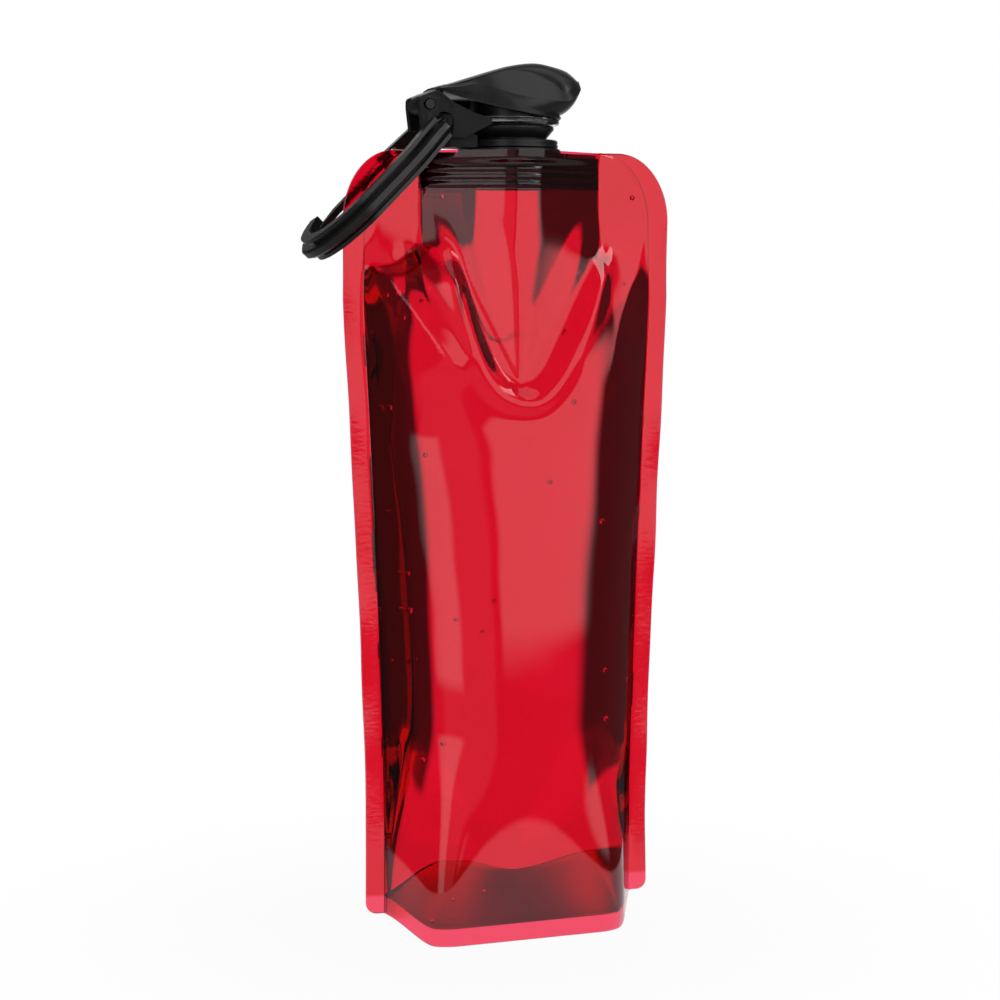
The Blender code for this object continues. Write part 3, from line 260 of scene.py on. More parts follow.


# %% [markdown]
# The film is a clear red laminate. One layer lets most of the red through and little else, so
# two layers give the pouch's deep colour. Its gloss is what sells it: the surface is almost a
# mirror, with a faint waviness, and it is duller along the welded edges. Its cut edge is paler
# and has a painted glow: an emission that stands in for the light that runs inside the film and
# comes out there.

# %% Red film and water
FILM_RED = (0.845, 0.045, 0.125)
# painted light: the welded foot strip is painted paler pink, for the bright light that shines through
# it
FILM_PALE = (0.865, 0.060, 0.150)
FOOT_PAINTED_PINK = (0.97, 0.22, 0.34)     # the strip that is welded along the base
FILM_INDEX = 1.45
FILM_ROUGH = 0.03
WELD_ROUGHER = 0.10
FILM_RIPPLE = 0.0625 * MM
EDGE_DARK = (0.62, 0.10, 0.15)
EDGE_LIGHT = (0.80, 0.30, 0.36)
# painted glow of the cut edge, an emission in place of light piped through the film
EDGE_PAINTED_GLOW = 0.25
WATER_TINT = (0.985, 0.99, 0.99)
WATER_INDEX = 1.333


def red_film():
    film = Finish("red_film")
    weld = film.own("weld")
    cloudy = film.ramp(film.noise(35.0, detail=2.0), 0.35, 0.7)
    colour = film.blend(cloudy, FILM_RED, FILM_PALE)
    # painted light: the foot is painted paler pink, for the bright light through its welded films
    colour = film.blend(film.own("foot"), colour, FOOT_PAINTED_PINK)
    slow = film.noise(90.0, detail=1.0, place=film.stretched((1.0, 1.0, 0.35)))
    quick = film.noise(900.0, detail=1.0, place=film.stretched((0.35, 1.0, 1.0)))
    return film.set(Base_Color=colour, Roughness=FILM_ROUGH + weld * WELD_ROUGHER, IOR=FILM_INDEX,
                    Transmission_Weight=1.0, Normal=film.bump(slow + weld * quick, FILM_RIPPLE))


def film_edge():
    edge = Finish("film_edge")
    tone = edge.blend(edge.noise(700.0, detail=2.0), EDGE_DARK, EDGE_LIGHT)
    # painted glow: the edge's tone is also shone out as emission
    return edge.set(Base_Color=tone, Roughness=0.45, Emission_Color=tone, Emission_Strength=EDGE_PAINTED_GLOW)


def water():
    clear = Finish("water")
    return clear.set(Base_Color=WATER_TINT, Roughness=0.0, IOR=WATER_INDEX, Transmission_Weight=1.0)


FILM = red_film()
FILM_CUT = film_edge()
WATER = water()
print(f"film: {len(FILM.node_tree.nodes)} nodes, index {FILM_INDEX}; water: index {WATER_INDEX}")

# %% [markdown]
# The cap, its lid and the clip loop are black moulded plastic: satin, with the fine grain of a
# spark-eroded mould, and slightly polished where hands rub it. The loop is glossier than the
# cap. The seals are cloudy silicone, and the small pin and spring are steel.

# %% Black plastics, silicone and steel
PLASTIC_INDEX = 1.44
WORN_PALER = 1.35
WORN_LIFT = 0.002
WEAR_SPREAD = 0.18            # how much the roughness varies


def black_resin(name, colour, rough, grain):
    """A black plastic of a colour and a roughness. grain is the depth of its grain in mm."""
    resin = Finish(name)
    fine = resin.noise(5200.0, detail=2.0)
    broad = resin.noise(160.0, detail=3.0)
    worn = tuple(c * WORN_PALER + WORN_LIFT for c in colour)
    tone = resin.blend(resin.ramp(broad, 0.3, 0.7), colour, worn)
    return resin.set(Base_Color=tone, Roughness=rough + (broad - 0.5) * WEAR_SPREAD,
                     Normal=resin.bump(fine, grain * MM), IOR=PLASTIC_INDEX)


def clear_silicone():
    soft = Finish("clear_silicone")
    cloud = soft.noise(400.0, detail=2.0)
    tone = soft.blend(cloud, (0.42, 0.43, 0.42), (0.58, 0.59, 0.58))
    return soft.set(Base_Color=tone, Roughness=0.10 + cloud * 0.1, Transmission_Weight=1.0, IOR=1.41)


def spring_steel():
    steel = Finish("spring_steel")
    lines = steel.noise(2600.0, detail=1.0, place=steel.stretched((1.0, 0.06, 1.0)))
    return steel.set(Base_Color=(0.42, 0.42, 0.43), Metallic=1.0, Roughness=0.22 + lines * 0.2,
                     Normal=steel.bump(lines, 0.01 * MM))


RESIN = black_resin("black_resin", (0.0045, 0.0045, 0.0045), 0.36, 0.012)
LOOP_RESIN = black_resin("loop_resin", (0.011, 0.0112, 0.0104), 0.22, 0.008)
SPOUT_RESIN = black_resin("spout_resin", (0.007, 0.006, 0.006), 0.30, 0.006)
SILICONE = clear_silicone()
STEEL = spring_steel()
FINISHES = {
    "spout_fitment": SPOUT_RESIN, "cap_body": RESIN, "mouthpiece": RESIN, "neck_gasket": SILICONE,
    "hinge_pin": RESIN, "lid_seal": SILICONE, "seal_carrier": RESIN, "carabiner_frame": LOOP_RESIN,
    "gate_pin": STEEL, "gate_spring": STEEL, "carabiner_gate": LOOP_RESIN,
}
print(f"{len(bpy.data.materials)} materials so far, for the film and {len(FINISHES)} moulded pieces")

# %% [markdown]
# The solids come as loose triangles. A copy of each is merged, so that its round faces can be
# shaded smooth. Three of them get a very small bevel along their edges: moulded edges are
# never quite sharp, and the thin line of light along them is what makes plastic look real.

# %% Moulded pieces
TOUCHING = 2e-6               # points closer than this are one
ALMOST_FLAT = 0.6             # degrees
PLAIN_SHARP = 30.0            # degrees; an edge that turns more than this stays sharp
SHARP = {"gate_spring": 60.0, "carabiner_frame": 24.0}
EDGE = {"carabiner_frame": 0.00016, "cap_body": 0.00012, "mouthpiece": 0.00015}
BODIES = frame["record"]["behaviour"]["bodies"]
BODY_OF = {node: body for body, names in BODIES.items() for node in names}


def join_flat_faces(bm):
    bmesh.ops.dissolve_limit(bm, angle_limit=math.radians(ALMOST_FLAT), verts=bm.verts, edges=bm.edges)


def turn_outwards(bm):
    bmesh.ops.recalc_face_normals(bm, faces=bm.faces)


def merge(mesh, finish_off):
    """Makes one point of those that touch, and then finishes the mesh off."""
    bm = bmesh.new()
    bm.from_mesh(mesh)
    bmesh.ops.remove_doubles(bm, verts=bm.verts, dist=TOUCHING)
    finish_off(bm)
    bm.to_mesh(mesh)
    bm.free()


def shade(mesh, sharp):
    """Shades a mesh smooth, apart from edges that turn more than sharp degrees."""
    mesh.shade_smooth()
    mesh.set_sharp_from_angle(angle=math.radians(sharp))


def moulded(name, finish):
    mesh = nodes[name].data.copy()
    merge(mesh, join_flat_faces)
    sharp = SHARP.get(name, PLAIN_SHARP)
    shade(mesh, sharp)
    mesh.materials.clear()
    mesh.materials.append(finish)
    piece = put(name + "_moulded", mesh)
    if name in EDGE:
        edge = piece.modifiers.new("edge", "BEVEL")
        edge.width = EDGE[name]
        edge.segments = 2
        edge.limit_method = "ANGLE"
        edge.angle_limit = math.radians(sharp)
        edge.harden_normals = True
    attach(piece, BODY_OF[name])
    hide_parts(name)
    return piece


for name, finish in FINISHES.items():
    moulded(name, finish)
print(f"{len(FINISHES)} moulded pieces dressed")

# %% [markdown]
# The pouch is two sheets welded flat along the sides and the top. From the front it widens
# upwards, to round shoulders. From the side it is deepest low down and thins towards the
# spout. Both are smooth curves over the height, through a few places. Lengths are the solid
# film's own, in metres, and x counts from the neck's axis.

# %% Sizes and curves of the pouch
TOP = 0.2700
HALF_TOP = 0.0593
HALF_BASE = 0.0523
TAPER_FOOT = 0.0450
TAPER_DROP = 0.0500
TAPER_CURVE = 1.3
SHOULDER_ACROSS = 0.0180
SHOULDER_DOWN = 0.0240
SIDE_SEAL = 0.0065
BASE_SEAL = 0.0060
BASE_DEPTH = 0.0220
BASE_CORNER = 0.0340
BODY_DEPTH = 0.0238
BODY_DEEP_AT = 0.0900
SIDE_LIFT = 0.0080            # how far the lower edge climbs from the corners to the side seals
LIFT_REACH = 0.0130
LIFT_START = 0.0005
HULL_RADIUS = 0.0155          # the weld body, as its cross-section has it
HULL_LOW = 0.2573
OVER_HULL = 0.00055           # weld body to the middle of the film on it
DEEPENED = (0.61, 0.22)       # share of the way up to the deepest place, share of depth missing
# Above that, pairs of the share of the way up to the weld body and the share of depth lost.
THINNED = ((0.0, 0.0), (0.21, 0.13), (0.42, 0.41), (0.60, 0.68), (0.81, 0.92), (1.0, 1.0))


def smooth(low, high, value):
    """An S curve from 0 at low to 1 at high."""
    t = np.clip((value - low) / (high - low), 0.0, 1.0)
    return t * t * (3 - 2 * t)


def curve_through(points, at):
    """Heights of a smooth curve through a few points, at an array of places."""
    xs, ys = np.array(points, float).T
    ahead, behind = np.r_[1:len(xs), len(xs) - 1], np.r_[0, 0:len(xs) - 1]
    slopes = (ys[ahead] - ys[behind]) / (xs[ahead] - xs[behind])
    k = np.clip(np.searchsorted(xs, at) - 1, 0, len(xs) - 2)
    width = xs[k + 1] - xs[k]
    t = np.clip((at - xs[k]) / width, 0.0, 1.0)
    return ((2 * t**3 - 3 * t**2 + 1) * ys[k] + (t**3 - 2 * t**2 + t) * width * slopes[k]
            + (3 * t**2 - 2 * t**3) * ys[k + 1] + (t**3 - t**2) * width * slopes[k + 1])


def half_width(height):
    share = np.clip((height - TAPER_FOOT) / (TOP - TAPER_DROP - TAPER_FOOT), 0.0, 1.0)
    half = HALF_BASE + (HALF_TOP - HALF_BASE) * share**TAPER_CURVE
    drop = np.clip((height - TOP + SHOULDER_DOWN) / SHOULDER_DOWN, 0.0, 1.0)
    return half - SHOULDER_ACROSS * (1 - np.sqrt(1 - drop * drop))


def full_depth(height):
    hull = HULL_RADIUS + OVER_HULL
    up, missing = DEEPENED
    curve = [(0.0, BASE_DEPTH), (2 * BASE_SEAL, BASE_DEPTH),
             (up * BODY_DEEP_AT, BODY_DEPTH - missing * (BODY_DEPTH - BASE_DEPTH))]
    rise, drop = HULL_LOW - BODY_DEEP_AT, BODY_DEPTH - hull
    for up, lost in THINNED:
        curve.append((BODY_DEEP_AT + up * rise, BODY_DEPTH - lost * drop))
    curve.append((TOP, hull))
    return curve_through(curve, height)


def side_lift(x):
    return SIDE_LIFT * smooth(BASE_CORNER - LIFT_START, BASE_CORNER + LIFT_REACH, np.abs(x))


for up in (0.0, BODY_DEEP_AT, HULL_LOW):
    wide, deep = half_width(np.array(up)) / MM, full_depth(np.array(up)) / MM
    print(f"{up / MM:.0f} mm up: {2 * wide:.1f} mm wide, {2 * deep:.1f} mm through")

# %% [markdown]
# Between the welds a sheet is a circular arc where only water pushes on it, and a trapezoid at
# the base, where the gusset holds its corners out. At the top it follows the boat-shaped weld
# body: flat flanks, a round middle, and the flange above. Each section is a line across half
# the pouch, and a share of its length finds the same place in all three, so they can blend.

# %% Sections across the pouch
BASE_KNEE = 0.0085            # how far from the corner the film starts to bend round it
BEND_POINTS = 9
HULL_HALF = 0.0322
HULL_TIP = 0.0015
HULL_TOP = 0.2680
TIP_FILM = 0.6                # share of the film's distance that is left at the weld body's tips
FLANGE_RADIUS = 0.0176
FLANGE_SWELL = 0.0030
GAP = 0.0003


def along_lines(corners, share):
    """Points at a share of the length of polylines. Corners are pairs of arrays."""
    xs = np.stack([np.broadcast_to(x, share.shape) for x, _ in corners])
    ys = np.stack([np.broadcast_to(y, share.shape) for _, y in corners])
    steps = np.hypot(np.diff(xs, axis=0), np.diff(ys, axis=0))
    ends = np.cumsum(steps, axis=0)
    want = share * ends[-1]
    k = np.clip((want[None] > ends).sum(axis=0), 0, len(corners) - 2)
    step = np.take_along_axis(steps, k[None], 0)[0]
    start = np.take_along_axis(ends, k[None], 0)[0] - step
    t = (want - start) / np.maximum(step, 1e-9)
    x0, x1 = (np.take_along_axis(xs, (k + n)[None], 0)[0] for n in (0, 1))
    y0, y1 = (np.take_along_axis(ys, (k + n)[None], 0)[0] for n in (0, 1))
    return x0 + (x1 - x0) * t, y0 + (y1 - y0) * t


def lens_section(half, depth, share):
    radius = (half * half + depth * depth) / (2 * depth)
    swing = np.arcsin(np.minimum(1.0, half / radius)) * (1 - share)
    return radius * np.sin(swing), radius * np.cos(swing) - (radius - depth)


def base_section(half, depth, share, corner=BASE_CORNER):
    leg = np.hypot(half - corner, depth)
    lead = ((half - corner) * BASE_KNEE / leg, depth * BASE_KNEE / leg)
    start = (corner + lead[0], depth - lead[1])
    end = (corner - BASE_KNEE, depth)
    bend = [tuple((1 - t)**2 * a + 2 * t * (1 - t) * b + t * t * c
                  for a, b, c in zip(start, (corner, depth), end))
            for t in np.linspace(0, 1, BEND_POINTS)]
    return along_lines([(half, 0.0 * depth), *bend, (0.0 * half, depth)], share)


def hull_touch():
    """Where the weld body's flat flank leaves its round middle."""
    touch = 0.0
    for _ in range(20):
        y = math.sqrt(HULL_RADIUS**2 - touch**2)
        touch = (HULL_RADIUS**2 - HULL_TIP * y) / HULL_HALF
    return touch


def hull_section(half, share, height):
    """Along the weld body, and round the flange above it."""
    first = math.asin(hull_touch() / HULL_RADIUS)
    radius = HULL_RADIUS + OVER_HULL
    swell = smooth(HULL_TOP - FLANGE_SWELL, HULL_TOP - GAP, height)
    flange = FLANGE_RADIUS + OVER_HULL
    corners = [(half, 0.0 * half), (HULL_HALF + OVER_HULL, HULL_TIP + TIP_FILM * OVER_HULL)]
    for angle in np.linspace(first, 0.0, BEND_POINTS):
        x, y = radius * math.sin(angle), radius * math.cos(angle)
        wide = math.sqrt(max(0.0, flange**2 - x * x))
        corners.append((x, y + swell * max(0.0, wide - y)))
    return along_lines(corners, share)


print(f"weld body: its flanks leave the round middle {hull_touch() / MM:.1f} mm from the axis")

# %% [markdown]
# The sheets aren't smooth. The spout pulls the middle of each one in, so a tongue-shaped hollow
# hangs below it, with a sharp valley on its left, a soft one on its right and a rolled rim
# round it. It is modelled as a cone from the weld body down to a point, and the rim is a line
# through a short list of places. What lies inside that line is drawn back to the cone.

# %% The drawn-in middle
RIM = [(-34, 252), (-28.5, 238), (-22.5, 214), (-16.4, 196.2), (-9.9, 187.7), (-1.1, 184.6),
       (6.2, 186.0), (12.4, 191.8), (18.4, 201.5), (26, 215), (33, 230), (37, 244), (38, 252)]
LINE_POINTS = 48
APEX = (-0.0022, 0.1908)      # where the drawn-in sheet comes to its point
TIP_SINK = 0.0026             # how deep that point lies
RIGHT_WIDER = 0.42            # share by which the cone's right side spreads near its point
RIGHT_FADE = 0.55
LEFT_WALL, RIGHT_WALL = 0.0068, 0.0075
CROSSING = (-5 * MM, 7 * MM)  # the sharp valley turns to the soft one between these
ROLL, ROLL_WIDTH = 0.0013, 0.0034
ROLL_ENDS = (0.225, 0.245)


def near_line(points, x, z):
    """Distance to a smooth line, which side of it, and how far along it, for arrays x and z."""
    places = np.array(points, float) * MM
    knots = np.linspace(0, 1, len(places))
    fine = np.linspace(0, 1, LINE_POINTS)
    line = np.stack([curve_through(list(zip(knots, places[:, k])), fine) for k in (0, 1)], axis=1)
    best = np.full(x.shape, 1e9)
    side = np.ones(x.shape)
    along = np.zeros(x.shape)
    for k, (a, b) in enumerate(zip(line, line[1:])):
        step = b - a
        t = np.clip(((x - a[0]) * step[0] + (z - a[1]) * step[1]) / (step @ step), 0, 1)
        dx, dz = x - a[0] - t * step[0], z - a[1] - t * step[1]
        gap = np.hypot(dx, dz)
        nearer = gap < best
        best = np.where(nearer, gap, best)
        side = np.where(nearer, np.sign(step[0] * dz - step[1] * dx), side)
        along = np.where(nearer, (k + t) / (len(line) - 1), along)
    return best, side, along


def hull_depth(x):
    """Depth of the weld body's front at x, level with its tip beyond it."""
    touch = hull_touch()
    reach = np.abs(x)
    high = math.sqrt(HULL_RADIUS**2 - touch**2)
    flank = HULL_TIP + (high - HULL_TIP) * (HULL_HALF - reach) / (HULL_HALF - touch)
    middle = np.sqrt(np.maximum(0.0, HULL_RADIUS**2 - reach**2))
    return OVER_HULL + np.where(reach < touch, middle, np.maximum(HULL_TIP, flank))


def spout_cone(x, z):
    """The sheet where it narrows from the weld body to a point below it."""
    rise = np.clip((z - APEX[1]) / (HULL_LOW - APEX[1]), 0.0, 1.0)
    across = (x - (1 - rise) * APEX[0]) / np.maximum(rise, 0.02)
    spread = 1 + RIGHT_WIDER * (1 - smooth(RIGHT_FADE, 1.0, rise))
    across = np.where(across > 0, across / spread, across)
    tip = full_depth(np.full_like(z, APEX[1])) - TIP_SINK
    return (1 - rise) * tip + rise * hull_depth(across)


def draw_in(x, z, depth):
    """The sheet's depth once the spout has drawn its middle in."""
    away, side, _ = near_line(RIM, x, z)
    inside = np.where(side > 0, away, 0.0)
    crisp = np.clip(inside / LEFT_WALL, 0, 1)
    crisp = crisp * crisp * (1.6 - 0.6 * crisp)
    soft = smooth(0, RIGHT_WALL, inside)
    share = (crisp + (soft - crisp) * smooth(*CROSSING, x - APEX[0])) * (z < HULL_LOW)
    rolled = ROLL * np.exp(-(away / ROLL_WIDTH)**2) * (1 - smooth(*ROLL_ENDS, z))
    return depth + np.minimum(0.0, spout_cone(x, z) - depth) * share + rolled


lowest = np.array(RIM, float)[:, 1].min()
print(f"hollow: hangs down to {lowest:.0f} mm, {HULL_LOW / MM - lowest:.0f} mm under the weld body")

# %% [markdown]
# Three smaller folds run in from the side seals: a sharp crest and a round crease on the left,
# and a lower crest on the right. Each is a line of places with a width and a depth. Beside
# them the shoulders are pressed full of water and stand out close to the seals, and all over
# the film isn't quite taut, which a few broad, shallow waves from a fixed seed stand for.

# %% Folds, shoulders and slack
LEFT_FOLD = [(-54.5, 231), (-46.5, 228.5), (-42.5, 221.3), (-38.0, 214.6), (-27.8, 199.6),
             (-20.5, 192.0)]
PILLOW = [(-52.5, 234), (-47.5, 231.5), (-40.5, 232.5), (-36.0, 237.5)]
RIGHT_FOLD = [(51.0, 246.6), (47.0, 231.0), (41.4, 219.4), (35.5, 205.6), (31.0, 188.0)]
# A line, its depth and width in mm (a crest is below 0), 1 for a sharp profile and 2 for a
# round one, and the shares of its length at which it is full and at which it fades.
FOLDS = ((LEFT_FOLD, -2.0, 5.0, 1, 0.12, 0.80), (PILLOW, 1.5, 2.4, 2, 0.20, 0.80),
         (RIGHT_FOLD, -0.9, 3.5, 1, 0.12, 0.75))
PLUMP = {-1: (0.0052, 0.0018), 1: (0.0032, 0.0018)}    # left and right; in front, behind
PLUMP_REACH = 0.0165          # how far in from the seal a full shoulder climbs
PLUMP_CURVE = ((0.0, 0.0), (0.5, 0.5), (0.9, 0.87), (1.15, 0.97), (1.5, 1.0))
PLUMP_FADE = (1.2 * PLUMP_REACH, 3.2 * PLUMP_REACH)
PLUMP_LOW, PLUMP_HIGH = (0.166, 0.206), (0.224, 0.240)
SLACK_SEED = {-1: 7, 1: 8}
SLACK_WAVES = 9
SLACK_DEPTH = 0.06


def front_folds(x, z):
    """How far the front sheet lies inside its plain surface, in metres."""
    sink = np.zeros(x.shape)
    for places, deep, wide, power, full, fading in FOLDS:
        away, _, along = near_line(places, x, z)
        profile = np.exp(-(away / (wide * MM))**power)
        sink = sink + deep * MM * profile * smooth(0.0, full, along) * smooth(1.0, fading, along)
    return sink


def plump(from_seal, z, most):
    """How far a shoulder stands out, this far from its seal."""
    ramp = curve_through(PLUMP_CURVE, from_seal / PLUMP_REACH)
    ramp = ramp * (1 - smooth(*PLUMP_FADE, from_seal))
    return most * ramp * smooth(*PLUMP_LOW, z) * (1 - smooth(*PLUMP_HIGH, z))


def slack(x, z, seed):
    """Broad, shallow waves of a sheet that isn't quite taut."""
    random = np.random.default_rng(seed)
    total = np.zeros(x.shape)
    for _ in range(SLACK_WAVES):
        across, up = random.uniform(60, 190), random.uniform(25, 110)
        turn, push = random.uniform(0, 2 * math.pi, 2)
        total += np.sin(across * x + up * z + turn) * np.sin(up * 0.7 * z - across * 0.3 * x + push)
    return total * SLACK_DEPTH * MM


print(f"{len(FOLDS)} folds; shoulders up to {max(PLUMP[-1]) / MM:.1f} mm full in front")

# %% [markdown]
# All of that meets in one grid: one row for each height, and one column for each share of the
# width. The welded strips are flat but not stiff, so both sheets wave together along them, and
# the weld body's ribs show where the film is pressed on them. The grid also tells where the
# film is welded, because the finish is duller there.

# %% The middle surface of a sheet
SEAL_SHARE = SIDE_SEAL / HALF_TOP
FLAT = 0.0004                 # middle plane to a film's middle, in the welds
CORNER_RADIUS = 0.0035
BASE_FADE = 0.0750
NECK_FADE = 0.0623
LIFT_FADE = 0.0800
WELD_FADE = (0.0006, 0.0004)  # below and above the base's weld line
RIBS = 3
RIB_PRESS = 0.00035
RIB_FADE = 0.003
WAVE, WAVE_LENGTHS = 0.65 * MM, (0.0148, 0.031)
RIPPLE, RIPPLE_LENGTH = 0.25 * MM, 0.0063
FREE_ACROSS, FREE_FROM, FREE_TO = 0.10, 0.020, (0.240, 0.2565)    # where folds can form
BACK_HOLLOW = 1.3             # the hollow behind is this many times shorter
BACK_FOLDS = 0.45             # depth of the folds behind, as a share of those in front


def weld_ribs(x, height):
    """The weld body's ribs, pressed into the film that is welded to it."""
    along = (height - HULL_LOW) / (HULL_TOP - FLANGE_SWELL - HULL_LOW)
    rib = 0.5 - 0.5 * np.cos(2 * math.pi * RIBS * along)
    across = smooth(HULL_HALF, HULL_HALF - RIB_FADE, np.abs(x))
    return RIB_PRESS * rib * (along > 0) * (along < 1) * across


def seal_wave(x, z):
    """The side seals aren't flat: both sheets wave together, most at their outer edge."""
    turn = np.where(x > 0, 2.1, 0.3)
    long, longer = WAVE_LENGTHS
    return (WAVE * np.sin(z / long + turn) * np.sin(z / longer + 2 * turn)
            + RIPPLE * np.sin(z / RIPPLE_LENGTH + turn))


def plain_section(across, height):
    """A sheet without its folds: x and depth, welded strips included."""
    inner = half_width(height) - SIDE_SEAL
    reach = np.abs(across)
    share = np.clip(1 - reach / (1 - SEAL_SHARE), 0.0, 1.0)
    depth = full_depth(height) - FLAT
    lens_x, lens_y = lens_section(inner, depth, share)
    base_x, base_y = base_section(inner, depth, share)
    top_x, top_y = hull_section(inner, share, height)
    base = 1 - smooth(BASE_SEAL, BASE_FADE, height)
    top = smooth(HULL_LOW - NECK_FADE, HULL_LOW - 4 * GAP, height)
    x = lens_x + (base_x - lens_x) * base
    y = lens_y + (base_y - lens_y) * base
    x, y = x + (top_x - x) * top, y + (np.maximum(0.0, top_y - FLAT) - y) * top
    rise = CORNER_RADIUS - np.minimum(height, CORNER_RADIUS)
    seal = SIDE_SEAL - CORNER_RADIUS + np.sqrt(CORNER_RADIUS**2 - rise**2)
    welded = reach > 1 - SEAL_SHARE
    x = np.where(welded, inner + seal * (reach - 1 + SEAL_SHARE) / SEAL_SHARE, x)
    return np.copysign(x, across), np.where(welded, 0.0, y), inner, share


def sheet_grid(side, heights, columns):
    """Middle surface of a sheet. side is -1 in front and 1 behind. Arrays x, y, z and weld."""
    across, height = np.meshgrid(columns, heights)
    x, y, inner, share = plain_section(across, height)
    left, right = PLUMP[side]
    y = y + plump(np.maximum(0.0, inner - np.abs(x)), height, np.where(x < 0, left, right))
    free = smooth(0.0, FREE_ACROSS, share) * smooth(BASE_SEAL, FREE_FROM, height)
    free = free * (1 - smooth(*FREE_TO, height))
    if side < 0:
        y = draw_in(x, height, y)
        sink = front_folds(x, height)
    else:
        y = draw_in(-x, HULL_LOW - (HULL_LOW - height) * BACK_HOLLOW, y)
        sink = BACK_FOLDS * front_folds(-x, height)
    y = np.maximum(0.0, y - (sink + slack(x, height, SLACK_SEED[side])) * free) + weld_ribs(x, height)
    z = height + side_lift(x) * (1 - smooth(0.0, LIFT_FADE, height))
    out = np.abs(across) - 1 + SEAL_SHARE
    foot = 1 - smooth(BASE_SEAL - WELD_FADE[0], BASE_SEAL + WELD_FADE[1], height)
    weld = np.maximum((np.abs(across) > 1 - SEAL_SHARE) * 1.0, foot)
    return x, side * (y + FLAT) + seal_wave(x, z) * out.clip(0) / SEAL_SHARE, z, weld


for up in (BODY_DEEP_AT, APEX[1]):
    deep = -sheet_grid(-1, np.array([up]), np.array([0.0]))[1].item()
    print(f"front sheet's middle, {up / MM:.0f} mm up: {deep / MM:.1f} mm deep")

# %% [markdown]
# The sheets, the base, the water and the lid are all grids of points, rows or rings joined by
# four-cornered faces. A few helpers turn a grid into a piece: points that touch are merged,
# faces are turned outwards, and a sheet is thickened to a wall, whose cut edge gets a finish of
# its own.

# %% From a grid to a piece
CRISP = 48.0                  # degrees; the cut edges and the base's folds are sharper than this


def mesh_object(name, points, faces, finish, **values):
    """A smooth mesh piece in the row frame, its faces turned outwards. Values go to its points."""
    mesh = bpy.data.meshes.new(name)
    mesh.from_pydata([tuple(p) for p in points], [], faces)
    for key, numbers in values.items():
        layer = mesh.attributes.new(key, "FLOAT", "POINT")
        layer.data.foreach_set("value", np.asarray(numbers, np.float32))
    merge(mesh, turn_outwards)
    mesh.shade_smooth()
    mesh.materials.append(finish)
    return put(name, mesh)


def grid_faces(rows, columns, closed=False):
    wide = columns if closed else columns - 1
    return [(r * columns + c, r * columns + (c + 1) % columns,
             (r + 1) * columns + (c + 1) % columns, (r + 1) * columns + c)
            for r in range(rows - 1) for c in range(wide)]


def shown_mesh(piece):
    """The mesh of an object as it looks with its modifiers, or of a curve."""
    return bpy.data.meshes.new_from_object(piece.evaluated_get(bpy.context.evaluated_depsgraph_get()))


def thicken(piece, wall):
    """Gives a sheet its wall, and its cut edge the edge's finish."""
    piece.data.materials.append(FILM_CUT)
    shell = piece.modifiers.new("wall", "SOLIDIFY")
    shell.material_offset_rim = 1
    shell.thickness = wall
    shell.offset = 0.0
    mesh = shown_mesh(piece)
    piece.modifiers.clear()
    piece.data = mesh
    shade(mesh, CRISP)


print(f"3 rows of 4 points: {len(grid_faces(3, 4))} faces, or {len(grid_faces(3, 4, True))} as a tube")

# %% [markdown]
# A sheet's rows stand close together where the shoulders and the lower corners bend. Both
# values that the film's finish reads go along as attributes: the weld, which is duller, and
# the foot, which is painted pinker and paler for the bright light that shines through it.

# %% Sheets
WALL = 0.00036
FIRST_ROW = 0.008             # above the base's weld
FOLD_ROWS = (-0.0012, 0.0, 0.0012)    # round the bend between the weld and the first row
CORNER_ROWS, BODY_ROWS, SHOULDER_ROWS = 6, 168, 60
INNER_COLUMNS, SEAL_COLUMNS = 132, 5


def row_heights():
    shoulder = TOP - SHOULDER_DOWN
    corner = CORNER_RADIUS * (1 - np.cos(np.linspace(0, math.pi / 2, CORNER_ROWS)))
    body = np.linspace(FIRST_ROW, shoulder, BODY_ROWS)
    bend = shoulder + SHOULDER_DOWN * np.sin(np.linspace(0, math.pi / 2, SHOULDER_ROWS))[1:]
    return np.concatenate([corner, (corner[-1] + FIRST_ROW) / 2 + np.array(FOLD_ROWS), body, bend])


def film_columns():
    inner = np.linspace(-(1 - SEAL_SHARE), 1 - SEAL_SHARE, INNER_COLUMNS + 1)
    strip = np.linspace(1 - SEAL_SHARE, 1, SEAL_COLUMNS)[1:]
    return np.concatenate([-strip[::-1], inner, strip])


def sheet(name, side):
    heights, columns = row_heights(), film_columns()
    x, y, z, weld = sheet_grid(side, heights, columns)
    points = np.stack([x + NECK, y, z], axis=-1).reshape(-1, 3)
    # the foot, below the base's weld line, is painted pinker for the bright light through it
    foot = np.broadcast_to((heights < BASE_SEAL)[:, None] * 1.0, x.shape)
    piece = mesh_object(name, points, grid_faces(*x.shape), FILM, weld=weld.ravel(), foot=foot.ravel())
    thicken(piece, WALL)
    print(f"{name}: {x.shape[0]} rows of {x.shape[1]} points, {np.abs(y).max() / MM:.1f} mm deep")
    return piece


front = sheet("front_sheet", -1)
back = sheet("back_sheet", 1)
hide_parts("front_film")
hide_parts("back_film")
for piece in (front, back):
    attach(piece, "bottle")

# %% [markdown]
# The lid is what shows most of the black parts: a long nose, with a leaf-shaped facet on each
# side and a beaded rim below. It is lofted from rings, as the solid is, but with four times the
# points, so that the round parts stay round while the facets' edges stay crisp. Five curves
# along it say how high and how wide its ridge, its facets and its belt are.

